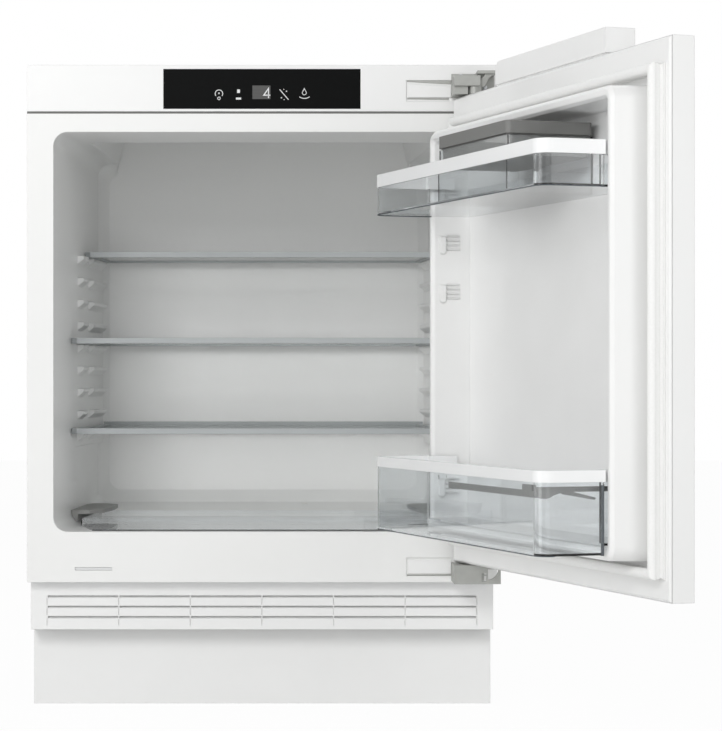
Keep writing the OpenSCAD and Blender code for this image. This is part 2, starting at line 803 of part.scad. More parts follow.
module vent_grille() {
  bay = 2 * bay_x / grille_bays;
  first = grille_z0 + slat_low;
  slot_room = (grille_rows - 1) * slat_pitch;
  color("white") difference() {
    translate([-base_half, grille_y, grille_z0]) cube([base_w, grille_t, grille_z1 - grille_z0]);
    // Hollow rear
    translate([-base_half + 2.5, grille_y + 3, grille_z0 + 2.5])
      cube([base_w - 5, grille_t, slat_low - 5]);
    translate([-base_half + 2.5, grille_y + 3, first + slot_room + slat_gap + 9])
      cube([base_w - 5, grille_t, 5]);
    // Slots between the sloping slats, broken at each partition
    for (k = [0:grille_rows - 1], b = [0:grille_bays - 1])
      translate([-bay_x + b * bay + 0.8, 0, first + k * slat_pitch])
        rotate([90, 0, 90]) linear_extrude(bay - 1.6)
          polygon([
            [grille_y - eps, -0.1], [grille_y + grille_t + eps, 7],
            [grille_y + grille_t + eps, 7 + slat_gap + 2], [grille_y - eps, slat_gap]
          ]);
    // Fine grooves where the slats are divided
    for (b = [0:grille_bays])
      translate([-bay_x + b * bay - 0.5, grille_y - eps, first - 5])
        cube([1, 0.8 + eps, slot_room + slat_gap + 10]);
  }
}

module plinth_panel() {
  t = 3;
  color("white") union() {
    translate([-base_half, plinth_y, seat]) cube([base_w, t, plinth_h - 2 * seat]);
    translate([-base_half, plinth_y, plinth_h - 4]) cube([base_w, plinth_lip, 4 - seat]);
    both_sides() translate([-base_half, plinth_y, seat]) cube([t, plinth_lip, plinth_h - 2 * seat]);
    // Clips on the front cross rail
    clip_x = base_half - 96;
    for (x = [-clip_x, 0, clip_x])
      translate([x - 10, plinth_y, foot_h + 20]) cube([20, plinth_lip + 0.4, 14]);
  }
}

module feet() {
  color("dimgray") for (x = [-foot_x, foot_x], y = foot_y)
    translate([x, y, 0]) union() {
      rotate_extrude() polygon([
        [0, 0], [foot_r - 2, 0], [foot_r, 2], [foot_r, 6], [12, 9], [12, foot_h - 0.01], [0, foot_h - 0.01]
      ]);
      cylinder(r = 4.9, h = foot_h + 26);
    }
}

module compressor() {
  color([0.12, 0.12, 0.13]) difference() {
    union() {
      translate([comp_x, comp_y, comp_z]) rotate_extrude($fn = 64) polygon([
        [0, 0], [comp_r * 0.62, 0], [comp_r * 0.86, 8], [comp_r * 0.97, 24], [comp_r, 42],
        [comp_r, comp_h * 0.52], [comp_r + 3, comp_h * 0.52], [comp_r + 3, comp_h * 0.52 + 7],
        [comp_r, comp_h * 0.52 + 7], [comp_r, comp_h - 46], [comp_r * 0.95, comp_h - 28],
        [comp_r * 0.8, comp_h - 11], [comp_r * 0.5, comp_h - 2], [comp_r * 0.3, comp_h], [0, comp_h]
      ]);
      // Foot plate on its four mounts
      translate([comp_x, comp_y, comp_z - 1]) linear_extrude(4) union() {
        square([2 * grommet_x, 44], center = true);
        for (x = [-grommet_x, grommet_x]) {
          for (y = [-grommet_y, grommet_y]) translate([x, y]) circle(13);
          translate([x - 13, -grommet_y]) square([26, 2 * grommet_y]);
        }
      }
    }
    // Sockets of the two pipes
    translate([comp_x - 8, comp_y - comp_r + 1.7, comp_z + 60]) rotate([90, 0, 0])
      cylinder(r = 3 + seat, h = 30);
    translate([comp_x + comp_r - 2.3, comp_y, comp_z + 60]) rotate([0, 90, 0])
      cylinder(r = 4 + seat, h = 30);
    // Hollow of the welded shell
    translate([comp_x, comp_y, comp_z + 5]) cylinder(r = comp_r - 20, h = comp_h - 30);
    for (x = [-grommet_x, grommet_x], y = [-grommet_y, grommet_y])
      translate([comp_x + x, comp_y + y, comp_z - 2]) cylinder(r = 6, h = 8);
  }
}

module compressor_mounts() {
  color([0.08, 0.08, 0.08]) for (x = [-grommet_x, grommet_x], y = [-grommet_y, grommet_y])
    translate([comp_x + x, comp_y + y, deck_z]) rotate_extrude() polygon([
      [0, 0], [10, 0], [10, comp_z - 1 - deck_z], [5.9, comp_z - 1 - deck_z], [5.9, comp_z + 3.3 - deck_z],
      [9, comp_z + 3.3 - deck_z], [9, comp_z + 7 - deck_z], [0, comp_z + 7 - deck_z]
    ]);
}

module compressor_relay() {
  color([0.15, 0.15, 0.15]) difference() {
    translate([comp_x - 24, comp_y + comp_r - 2, comp_z + 46]) cube([48, 18, 40]);
    translate([comp_x, comp_y, comp_z]) cylinder(r = comp_r + 3 + seat, h = comp_h);
  }
}

// Serpentine wire-and-tube condenser that stands beside the fan
module condenser_coil() {
  pitch = (coil_y1 - coil_y0) / (coil_rows - 1);
  span = (coil_x1 - coil_x0 - 20) / (coil_wires - 1);
  color([0.14, 0.14, 0.15]) union() {
    for (l = [0:coil_layers - 1]) {
      z = coil_z + l * coil_step;
      for (k = [0:coil_rows - 1])
        translate([coil_x0, coil_y0 + k * pitch, z]) rotate([0, 90, 0])
          cylinder(r = coil_r, h = coil_x1 - coil_x0, $fn = 16);
      for (k = [0:coil_rows - 2])
        translate([k % 2 == 0 ? coil_x1 : coil_x0, coil_y0 + (k + 0.5) * pitch, z])
          rotate([0, 0, k % 2 == 0 ? -90 : 90])
            rotate_extrude(angle = 180, $fn = 24) translate([pitch / 2, 0]) circle(coil_r, $fn = 16);
    }
    // Bonded wires that tie each layer together
    for (k = [0:coil_wires - 1], l = [0:coil_layers - 1])
      translate([coil_x0 + 10 + k * span - 1, coil_y0 - 4, coil_z + l * coil_step + coil_r - 0.6])
        cube([2, coil_y1 - coil_y0 + 8, 1.6]);
    // End brackets that stand on the deck
    for (x = [coil_x0 + 4, coil_x1 - 6], y = [coil_y0, coil_y1])
      translate([x, y - 4, deck_z]) cube([2, 8, coil_z + (coil_layers - 1) * coil_step + 8 - deck_z]);
  }
}

module fan_shroud() {
  w = 122;
  color([0.2, 0.2, 0.2]) union() {
    difference() {
      union() {
        translate([fan_x - 3, fan_y - w / 2, deck_z]) cube([6, w, fan_z + w / 2 - deck_z]);
        translate([fan_x - 16, fan_y, fan_z]) rotate([0, 90, 0]) cylinder(r = fan_r + 6, h = 32);
      }
      translate([fan_x - 17, fan_y, fan_z]) rotate([0, 90, 0])
        cylinder(r = fan_r + 3, h = 17 + fan_back);
      // Air passages between the motor's spokes
      difference() {
        translate([fan_x + 5, fan_y, fan_z]) rotate([0, 90, 0]) cylinder(r = fan_r, h = 14);
        translate([fan_x, fan_y, fan_z]) rotate([0, 90, 0]) cylinder(r = 24, h = 30);
        for (a = [0, 60, 120])
          translate([fan_x, fan_y, fan_z]) rotate([a + 30, 0, 0]) translate([0, -4, -fan_r - 2])
            cube([30, 8, 2 * fan_r + 4]);
      }
    }
    // Stub shaft that the hub runs on
    translate([fan_x + fan_back - stub_len, fan_y, fan_z]) rotate([0, 90, 0])
      cylinder(r = stub_r, h = stub_len + 1);
  }
}

module fan_motor() {
  color("gray") union() {
    translate([fan_x + 16, fan_y, fan_z]) rotate([0, 90, 0]) cylinder(r = 24, h = 26);
    translate([fan_x + 42, fan_y, fan_z]) rotate([0, 90, 0]) cylinder(r = 8, h = 5);
  }
}

// Hub and pitched blades; the hub runs on the shroud's stub shaft
module fan_blades() {
  hub_x = fan_x + fan_back - stub_len - seat - hub_cap;
  hub_h = fan_x + fan_back - 1 - hub_x;
  tip = fan_r - 3;
  color([0.16, 0.16, 0.16]) translate([hub_x, fan_y, fan_z]) rotate([0, 90, 0]) union() {
    difference() {
      cylinder(r = stub_r + 4, h = hub_h);
      translate([0, 0, hub_cap]) cylinder(r = stub_r + run_gap, h = hub_h);
    }
    for (k = [0:4]) rotate([0, 0, k * 72]) translate([stub_r + 2.6, 0, hub_h / 2])
      rotate([58, 0, 0]) translate([0, 0, -hub_h / 2]) linear_extrude(hub_h)
        polygon([[0, -1], [14, -2.4], [tip - 17, -4], [tip - 17, -2.4], [14, -0.6], [0, 1]]);
  }
}

// A bent pipe: straight runs between points, with a round bead at each bend
module pipe_run(points, r) {
  for (k = [0:len(points) - 2]) {
    v = points[k + 1] - points[k];
    l = norm(v);
    translate(points[k]) rotate([0, acos(v[2] / l), atan2(v[1], v[0])]) cylinder(r = r, h = l);
  }
  for (k = [1:1:len(points) - 2]) translate(points[k]) sphere(r + 0.6);
}

pipe_y = comp_y - comp_r - 10;
pipe_z = deck_z + 10;
drier_r = 9;

// Copper discharge pipe with the filter drier brazed into it, and the suction pipe
module refrigerant_pipes() {
  color([0.72, 0.45, 0.3]) union() {
    pipe_run([
      [comp_x - 8, comp_y - comp_r + 2, comp_z + 60], [comp_x - 8, pipe_y, comp_z + 60],
      [comp_x - 8, pipe_y, pipe_z], [coil_x1 - 2, pipe_y, pipe_z],
      [coil_x1 - 2, pipe_y, coil_z], [coil_x1 - 2, coil_y0 - coil_r - seat, coil_z]
    ], 3);
    translate([0, pipe_y, pipe_z]) rotate([0, 90, 0]) rotate_extrude() polygon([
      [0, 0], [3.6, 0], [3.6, 6], [drier_r, 14], [drier_r, 72], [3.6, 80], [3.6, 86], [0, 86]
    ]);
    pipe_run([
      [comp_x + comp_r - 2, comp_y, comp_z + 60], [comp_x + comp_r + 28, comp_y, comp_z + 60],
      [comp_x + comp_r + 28, comp_y, step_z - seat]
    ], 4);
  }
}

module evaporation_tray() {
  wall = 2.5;
  y1 = drain_y + 46;
  color([0.2, 0.2, 0.2]) translate([comp_x - thaw_w / 2, y1 - thaw_d, tray_z]) difference() {
    linear_extrude(thaw_h) union() {
      translate([thaw_r, 0]) square([thaw_w - 2 * thaw_r, thaw_d]);
      translate([0, thaw_r]) square([thaw_w, thaw_d - 2 * thaw_r]);
      for (x = [thaw_r, thaw_w - thaw_r], y = [thaw_r, thaw_d - thaw_r])
        translate([x, y]) circle(thaw_r);
    }
    translate([wall, wall, 2]) cube([thaw_w - 2 * wall, thaw_d - 2 * wall, thaw_h]);
  }
}

module drain_tube() {
  z0 = tray_z + 10;
  h = floor_at(drain_y) - 1 - z0;
  color("gray") difference() {
    translate([drain_x, drain_y, z0]) cylinder(r = drain_r, h = h);
    translate([drain_x, drain_y, z0 - 1]) cylinder(r = drain_r - tube_wall + 0.02, h = h + 2);
  }
}

inlet_w = 34;
inlet_x = base_half - 26 - inlet_w;

// Recessed appliance inlet on the rear rail; the lead is not shown
module power_inlet() {
  y1 = cheek_y1;
  color([0.1, 0.1, 0.1]) difference() {
    translate([inlet_x, y1 - 26, deck_z]) cube([inlet_w, 26, 30]);
    translate([inlet_x + 4, y1 - 14, deck_z + 5]) cube([inlet_w - 8, 16, 20]);
    for (k = [-7, 0, 7]) translate([inlet_x + inlet_w / 2 + k, y1 - 22, deck_z + 15])
      rotate([-90, 0, 0]) cylinder(r = 1.6, h = 10);
  }
}

// Slab with its inner edge chamfered all round, grown inwards by g
module door_block(g, bevel) {
  x0 = door_x0 + g;
  x1 = door_x1 - g;
  z0 = door_z0 + g;
  z1 = door_z1 - g;
  y0 = door_y0 + g;
  y1 = door_y1 - g;
  intersection() {
    translate([0, 0, z0]) linear_extrude(z1 - z0) polygon([
      [x0, y0], [x1, y0], [x1, y1 - bevel], [x1 - bevel, y1], [x0 + bevel, y1], [x0, y1 - bevel]
    ]);
    along_x(x0, x1) polygon([
      [y0, z0], [y0, z1], [y1 - bevel, z1], [y1, z1 - bevel], [y1, z0 + bevel], [y1 - bevel, z0]
    ]);
  }
}

// Outside of the rack frame on the door, shrunk by g
module dike_outer(g) {
  translate([door_mid, 0, 0]) hull() {
    slice(door_y1 - 3, dike_half - g, dike_z0 + g, dike_z1 - g, dike_r);
    slice(door_y1 + dike_h - crest_soft, dike_half - dike_lean - g, dike_z0 + dike_lean + g,
      dike_z1 - dike_lean - g, dike_r);
    slice(door_y1 + dike_h - g, dike_half - dike_lean - crest_soft - g / 2,
      dike_z0 + dike_lean + crest_soft, dike_z1 - dike_lean - crest_soft, dike_r - 2);
  }
}

// Bay inside the rack frame, grown by g
module dike_bay(g, y0) {
  translate([door_mid, 0, 0]) {
    hull() {
      slice(y0, dike_half - crest_w - dike_lean + g, dike_z0 + crest_w + 2 * dike_lean - g,
        dike_z1 - crest_w - 2 * dike_lean + g, bay_r);
      slice(door_y1 + dike_h + 2, dike_half - crest_w + g, dike_z0 + crest_w + dike_lean - g,
        dike_z1 - crest_w - dike_lean + g, bay_r);
    }
    // Softened inner edge of the crest
    hull() {
      slice(door_y1 + dike_h - crest_soft, dike_half - crest_w + g - 0.3,
        dike_z0 + crest_w + dike_lean - g + 0.3, dike_z1 - crest_w - dike_lean + g - 0.3, bay_r);
      slice(door_y1 + dike_h + 1, dike_half - crest_w + crest_soft - 0.5 + g,
        dike_z0 + crest_w + dike_lean - crest_soft + 0.5 - g,
        dike_z1 - crest_w - dike_lean + crest_soft - 0.5 + g, bay_r + 2);
    }
  }
}

// Lugs below and above the upper rack's underside, and the lower rack's own
lug_drop = 93;
lug_z = [lower_z + 50, upper_z - lug_drop, upper_z - lug_drop + 60, upper_z + 19];

// Hook-shaped lug and its row of short ribs on the frame's inner side
module rack_lug(z) {
  face = door_mid - bay_at(lug_d) + lug_out;
  root = lug_out + 0.8;
  translate([face - root, door_y1 + lug_d, z - 9]) cube([root, lug_w, 18]);
  translate([face - root, door_y1 + lug_d + lug_w / 2, z - 9]) rotate([0, 90, 0])
    cylinder(r = lug_w / 2, h = root);
  for (k = [0:3])
    translate([face - root, door_y1 + 14, z - 8 + k * 5.6]) cube([root + 0.5, lug_d - 15, 1.4]);
}

module door_panel() {
  color("white") swung() difference() {
    translate([door_x0, door_y0, door_z0]) cube([door_w, door_t - door_bevel, door_h]);
    translate([door_x0 + door_skin, door_y0 + door_skin, door_z0 - eps])
      cube([door_w - 2 * door_skin, door_t, door_h + 2 * eps]);
  }
}

module door_end_caps() {
  cap = 3;
  color("white") swung() difference() {
    for (z = [door_z0, door_z1 - cap])
      translate([door_x0 + door_skin, door_y0 + door_skin, z])
        cube([door_w - 2 * door_skin, door_t - door_bevel - door_skin, cap]);
    translate([pivot_x, pivot_y, door_z0 - 1]) cylinder(r = bush_r, h = door_h + 2);
    for (s = bracket_screw_s)
      translate([door_x1 - s, bracket_screw_y, door_z1 - 4]) cylinder(r = 2.5, h = 6);
  }
}

bush_r = 8;
bush_h = 22;

module door_foam() {
  cap = 3;
  color("khaki") swung() difference() {
    union() {
      translate([door_x0 + door_skin, door_y0 + door_skin, door_z0 + cap])
        cube([door_w - 2 * door_skin, door_t - door_skin - door_bevel, door_h - 2 * cap]);
      intersection() {
        door_block(liner_t, door_bevel);
        translate([door_x0, door_y1 - door_bevel - 0.01, door_z0 + cap])
          cube([door_w, door_bevel + 1, door_h - 2 * cap]);
      }
      difference() {
        dike_outer(liner_t);
        dike_bay(liner_t, door_y1 - 5);
      }
    }
    for (z = [door_z0 - 1, door_z1 - bush_h])
      translate([pivot_x, pivot_y, z]) cylinder(r = bush_r, h = bush_h + 1);
    for (s = bracket_screw_s)
      translate([door_x1 - s, bracket_screw_y, door_z1 - 14]) cylinder(r = 2.5, h = 16);
  }
}

module door_liner() {
  color("whitesmoke") swung() difference() {
    union() {
      difference() {
        union() {
          intersection() {
            door_block(0, door_bevel);
            translate([door_x0, door_y1 - door_bevel, door_z0]) cube([door_w, door_bevel, door_h]);
          }
          dike_outer(0);
        }
        intersection() {
          door_block(liner_t, door_bevel);
          translate([door_x0, door_y1 - door_bevel - 1, door_z0 + 3])
            cube([door_w, door_bevel + 1, door_h - 6]);
        }
        dike_foam_room();
        dike_bay(0, door_y1);
      }
      // Lugs that the racks hook over
      for (z = lug_z) {
        rack_lug(z);
        translate([2 * door_mid, 0, 0]) mirror([1, 0, 0]) rack_lug(z);
      }
    }
    for (z = [door_z0 - 1, door_z1 - bush_h])
      translate([pivot_x, pivot_y, z]) cylinder(r = bush_r, h = bush_h + 1);
  }
}

// Room that the foam fills inside the rack frame
module dike_foam_room() {
  difference() {
    dike_outer(liner_t);
    dike_bay(liner_t, door_y1 - 5);
  }
}

// Profile of the magnetic seal: foot, bellows and rounded magnet pocket
module seal_profile() {
  top = door_gap - seal_gap;
  union() {
    translate([-seal_r, 0]) square([2 * seal_r, 2.4]);
    polygon([
      [-seal_r + 1.1, 2.3], [seal_r - 1.1, 2.3], [seal_r - 2.1, 5], [seal_r - 0.7, 8],
      [seal_r - 0.6, top - seal_r + 0.5], [-seal_r + 0.6, top - seal_r + 0.5],
      [-seal_r + 0.7, 8], [-seal_r + 2.1, 5]
    ]);
    translate([0, top - seal_r]) intersection() {
      circle(seal_r);
      translate([-seal_r, -1]) square([2 * seal_r, seal_r + 2]);
    }
  }
}

// One straight, mitred run of the seal, centred, with outer length len
module seal_run(len) {
  intersection() {
    translate([-len / 2, 0, 0]) rotate([90, 0, 90]) linear_extrude(len)
      mirror([1, 0]) seal_profile();
    linear_extrude(door_gap) polygon([
      [-len / 2 + 2 * seal_r - weld, -seal_r], [len / 2 - 2 * seal_r + weld, -seal_r],
      [len / 2 + weld, seal_r], [-len / 2 - weld, seal_r]
    ]);
  }
}

module door_gasket() {
  w = 2 * (open_half + seal_in + seal_r);
  z0 = open_z0 - seal_in - 2;
  z1 = open_z1 + seal_in + 2;
  h = z1 - z0 + 2 * seal_r;
  color("gainsboro") swung() translate([0, door_y1, (z0 + z1) / 2]) rotate([-90, 0, 0]) {
    for (a = [0, 180]) rotate([0, 0, a]) translate([0, h / 2 - seal_r, 0]) seal_run(w);
    for (a = [90, 270]) rotate([0, 0, a]) translate([0, w / 2 - seal_r, 0]) seal_run(h);
  }
}

module hinge_bushes() {
  color("dimgray") swung() for (z = [door_z0, door_z1 - bush_h + 1])
    translate([pivot_x, pivot_y, z]) difference() {
      cylinder(r = bush_r - 0.01, h = bush_h - 1);
      translate([0, 0, -1]) cylinder(r = pin_r + 0.05, h = bush_h + 2);
    }
}

block_s = [105, 410];
block_y1 = door_y1 - 12.5;
block_y0 = door_y0 - 20;
bracket_screw_y = door_y0 + 6;
block_h = 33;
bracket_screw_s = [140, 257, 375];
bolt_s = [160, 355];
bolt_r = 4.1;

// White traverse on the door's top edge that carries the furniture front
module furniture_bracket() {
  x0 = door_x1 - block_s[1];
  x1 = door_x1 - block_s[0];
  color("white") swung() difference() {
    union() {
      upright(block_y0, block_y1) union() {
        translate([x0, door_z1 + 5]) square([x1 - x0, block_h - 5 - 12]);
        translate([x0, door_z1 + 12]) square([x1 - x0 - 12, block_h - 12]);
        translate([x1 - 12, door_z1 + block_h - 12]) circle(12);
      }
      translate([x0 + 4, door_y0 + 1, door_z1]) cube([x1 - x0 - 8, block_y1 - door_y0 - 3, 6]);
    }
    // Bores of the hanging bolts, in front of the slab
    for (s = bolt_s)
      translate([door_x1 - s, (door_y0 + block_y0) / 2, door_z1]) cylinder(r = bolt_r, h = block_h + 1);
    for (s = bracket_screw_s) translate([door_x1 - s, bracket_screw_y, door_z1 - 1]) {
      cylinder(r = 2.5, h = block_h + 2);
      translate([0, 0, block_h - 4]) cylinder(r = 6, h = 8);
    }
  }
}

module bracket_screws() {
  color("silver") swung() for (s = bracket_screw_s)
    translate([door_x1 - s, bracket_screw_y, door_z1 - 12]) union() {
      cylinder(r = 2.45, h = block_h + 9);
      translate([0, 0, block_h + 12 - 5]) cylinder(r = 5, h = 4);
    }
}

rack_y0 = door_y1 + dike_h + 3;

// Plan of a rack's wide part, in front of the rack frame, shrunk by g
module rack_front(g) {
  hw = rack_w / 2 - g;
  translate([door_mid, 0]) union() {
    translate([-hw, rack_y0 + g]) square([2 * hw, rack_y1 - rack_y0 - rack_r - g]);
    translate([-hw + rack_r - g, rack_y0 + g])
      square([2 * (hw - rack_r + g), rack_y1 - rack_y0 - 2 * g]);
    for (x = [-hw + rack_r - g, hw - rack_r + g])
      translate([x, rack_y1 - rack_r]) circle(rack_r - g);
  }
}

// Whole plan of a rack: narrow between the frame's sides, wide in front
module rack_plan(g) {
  rack_front(g);
  translate([door_mid - rack_half_in + g, wall_y + g])
    square([2 * (rack_half_in - g), rack_d / 2]);
}

// Clear body: floor, walls and the hooks that sit on the lugs
module rack_body(z, h, hook_z, step) {
  reach = bay_at(lug_d - 1) - 0.6;
  difference() {
    union() {
      translate([0, 0, z]) linear_extrude(h) rack_front(0);
      translate([0, 0, z + step]) linear_extrude(h - step) rack_plan(0);
    }
    translate([0, 0, z + rack_wall]) linear_extrude(h) rack_front(rack_wall);
    translate([0, 0, z + step + rack_wall]) linear_extrude(h) rack_plan(rack_wall);
  }
  for (m = [0, 1]) translate([door_mid, 0, 0]) mirror([m, 0, 0])
    translate([-reach, door_y1 + lug_d - 1, hook_z]) cube([reach - rack_half_in + 0.3, lug_w + 2, 5]);
}

// White rim that caps the front and both ends
module rack_rim(z, h) {
  translate([0, 0, z]) linear_extrude(h) difference() {
    rack_plan(-1.2);
    rack_plan(rack_wall + 1.2);
    translate([-cab_w, wall_y - 4]) square([2 * cab_w, 22]);
  }
}

module upper_rack() {
  color([0.82, 0.87, 0.9, 0.5]) swung() rack_body(upper_z, upper_rack_h, lug_z[3] + 9 + seat, 0);
}

module upper_rack_rim() {
  color("white") swung() rack_rim(upper_z + upper_rack_h, upper_rim_h);
}

module lower_rack() {
  color([0.82, 0.87, 0.9, 0.5]) swung() rack_body(lower_z, lower_rack_h, lug_z[0] + 9 + seat, rack_step);
}

module lower_rack_rim() {
  color("white") swung() rack_rim(lower_z + lower_rack_h, rim_h);
}

// Where the holder's fork stands along the rack, and the holder's length
holder_end = 15;
holder_len = 235;
holder_z = lower_z + lower_rack_h - 16;

// Grey bottle retainer: a bar behind the rack's front and a wavy fork across it
module bottle_holder() {
  x0 = door_mid - rack_w / 2 + holder_end;
  x1 = x0 + holder_len;
  y1 = rack_y1 - rack_wall - seat;
  y0 = wall_y + rack_wall + 10;
  top = holder_z + 11;
  color("dimgray") swung() union() {
    translate([x0, 0, 0]) rotate([90, 0, 90]) linear_extrude(x1 - x0)
      polygon([[y1 - 3, holder_z], [y1, holder_z], [y1, holder_z + 7], [y1 - 2, holder_z + 7]]);
    // Fork: its lower edge dips behind the rack's front and climbs again
    along_x(x0, x0 + 3.4) polygon([
      [y1, holder_z + 4], [y1 - 4, holder_z - 0.6], [y1 - 11, holder_z - 1.4], [y1 - 16, holder_z],
      [y1 - 20, holder_z + 2.4], [y1 - 27, holder_z + 4.4], [y1 - 36, holder_z + 5.6], [y0, holder_z + 5.7],
      [y0, top - 1], [y0 + 4, top], [y1, top]
    ]);
    // Thin lower bar that braces it
    along_x(x0, x0 + 3.4) polygon([
      [y1 - 28, holder_z + 5.4], [y1 - 30, holder_z + 3.2], [y1 - 66, holder_z - 3],
      [y1 - 68, holder_z - 1], [y1 - 40, holder_z + 6]
    ]);
    // Slider that hooks over the rack's front edge
    translate([x0 + 8, y1 - 3, holder_z]) cube([24, 3, 13]);
  }
}

module storage_box() {
  color([0.82, 0.87, 0.9, 0.5]) swung() difference() {
    translate([box_x0, box_y0, box_z0]) cube([box_w, box_d, box_h]);
    translate([box_x0 + box_wall, box_y0 + box_wall, box_z0 + box_wall])
      cube([box_w - 2 * box_wall, box_d - 2 * box_wall, box_h]);
  }
}

egg_cols = 4;
egg_rows = 2;
egg_h = 34;
egg_rim = 1;
egg_wall = 1.6;
egg_gap = 0.6;
box_wall = 2;

// Grey egg tray that hangs by its rim in the mouth of the storage box
module egg_tray() {
  m = box_wall + egg_gap;
  inner_w = box_w - 2 * m - 2 * egg_wall;
  inner_d = box_d - 2 * m - 2 * egg_wall;
  z = box_z0 + box_h + seat - egg_h;
  color("dimgray") swung() difference() {
    union() {
      translate([box_x0 + m, box_y0 + m, z]) cube([box_w - 2 * m, box_d - 2 * m, egg_h + egg_rim]);
      translate([box_x0 + 0.5, box_y0 + 0.5, z + egg_h]) cube([box_w - 1, box_d - 1, egg_rim]);
    }
    translate([box_x0 + m + egg_wall, box_y0 + m + egg_wall, z + 6])
      cube([inner_w, inner_d, egg_h]);
    // Dimples that the eggs stand in
    for (i = [0:egg_cols - 1], j = [0:egg_rows - 1])
      translate([box_x0 + m + egg_wall + (i + 0.5) * inner_w / egg_cols,
        box_y0 + m + egg_wall + (j + 0.5) * inner_d / egg_rows, z + 6 + 26])
        sphere(r = 30.5);
  }
}

module storage_lid() {
  over = 1.6;
  z = box_z0 + box_h + 2 * seat + egg_rim;
  color("dimgray") swung() difference() {
    translate([box_x0 - over, box_y0, z]) linear_extrude(lid_h) union() {
      translate([6, 0]) square([box_w + 2 * over - 12, box_d + over]);
      translate([0, 6]) square([box_w + 2 * over, box_d + over - 12]);
      for (x = [6, box_w + 2 * over - 6], y = [6, box_d + over - 6]) translate([x, y]) circle(6);
    }
    translate([box_x0 + box_wall, box_y0 + box_wall, z - 1])
      cube([box_w - 2 * box_wall, box_d - 2 * box_wall, lid_h - 1]);
  }
}

// Half width of a shelf at a depth, inside the wall and its rib pad
function shelf_half(y) = cavity_half(y) - (y > pad_y0 ? pad_at(y) : 0) - 1.6;

// Plan of a shelf from y0 to the rear, shrunk by g
module shelf_plan(y0, g) {
  y1 = cavity_d - rear_soft - 2;
  polygon([
    [-shelf_half(y0) + g, y0 + 8], [-shelf_half(y0) + 8 + g / 2, y0 + g],
    [shelf_half(y0) - 8 - g / 2, y0 + g], [shelf_half(y0) - g, y0 + 8],
    [shelf_half(y1) - g, y1 - g], [-shelf_half(y1) + g, y1 - g]
  ]);
}

glass_up = 1.6;

module shelf_glass(y0, level) {
  color([0.75, 0.85, 0.85, 0.5])
    translate([0, 0, shelf_z(level) + glass_up]) linear_extrude(glass_t) shelf_plan(y0, 4);
}

// Trim frame round the glass, with a raised stop along its rear edge
module shelf_trim(y0, level) {
  y1 = cavity_d - rear_soft - 2;
  z = shelf_z(level);
  color("lightgray") difference() {
    union() {
      translate([0, 0, z]) linear_extrude(trim_h) shelf_plan(y0, 0);
      translate([-shelf_half(y1), y1 - 6, z + trim_h - 1]) cube([2 * shelf_half(y1), 6, 5]);
    }
    translate([0, 0, z + glass_up]) linear_extrude(glass_t) shelf_plan(y0, 4);
    translate([0, 0, z - 1]) linear_extrude(trim_h + 2) shelf_plan(y0, 10);
  }
}

function shelf_z(level) = open_z0 + first_level + level * shelf_step * rib_pitch + seat;

module half_shelf_glass() { shelf_glass(half_shelf_y, 2); }
module half_shelf_trim() { shelf_trim(half_shelf_y, 2); }
module middle_shelf_glass() { shelf_glass(shelf_y, 1); }
module middle_shelf_trim() { shelf_trim(shelf_y, 1); }
module lower_shelf_glass() { shelf_glass(shelf_y, 0); }
module lower_shelf_trim() { shelf_trim(shelf_y, 0); }

// Clear tray on the cavity's floor, under the side guides
module floor_tray() {
  z = open_z0 + seat + 0.5;
  y1 = tray_y + tray_d;
  hw0 = tray_half(tray_y);
  hw1 = tray_half(y1);
  t = tray_wall;
  color([0.82, 0.87, 0.9, 0.5]) union() {
    difference() {
      translate([0, 0, z]) linear_extrude(tray_h) polygon([
        [-hw0, tray_y], [hw0, tray_y], [hw1, y1], [-hw1, y1]
      ]);
      translate([0, 0, z + t]) linear_extrude(tray_h) polygon([
        [-hw0 + t, tray_y + t], [hw0 - t, tray_y + t], [hw1 - t, y1 - t], [-hw1 + t, y1 - t]
      ]);
    }
    // Thin front apron that runs out to the sill
    translate([0, 0, z]) linear_extrude(t) polygon([
      [-hw0, tray_y + 1], [-hw0 + 23, apron_y], [hw0 - 23, apron_y], [hw0, tray_y + 1]
    ]);
  }
}

apron_y = 6;

left_side_panel();
right_side_panel();
top_cover();
bottom_pan();
rear_panel();
foam_insulation();
front_frame();
inner_liner();
evaporator_plate();
fascia();
control_glass();
display_window();
control_board();
lamp_cover();
hinge_covers();
service_slot();
top_hinge_bracket();
bottom_hinge_bracket();
hinge_pins();
tray_guides();
base_frame();
vent_grille();
plinth_panel();
feet();
compressor();
compressor_mounts();
compressor_relay();
condenser_coil();
fan_shroud();
fan_motor();
fan_blades();
refrigerant_pipes();
evaporation_tray();
drain_tube();
power_inlet();
door_panel();
door_end_caps();
door_foam();
door_liner();
door_gasket();
hinge_bushes();
furniture_bracket();
bracket_screws();
upper_rack();
upper_rack_rim();
lower_rack();
lower_rack_rim();
bottle_holder();
storage_box();
egg_tray();
storage_lid();
half_shelf_glass();
half_shelf_trim();
middle_shelf_glass();
middle_shelf_trim();
lower_shelf_glass();
lower_shelf_trim();
floor_tray();
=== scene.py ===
import math

import bmesh
import bpy
from mathutils import Matrix, Vector


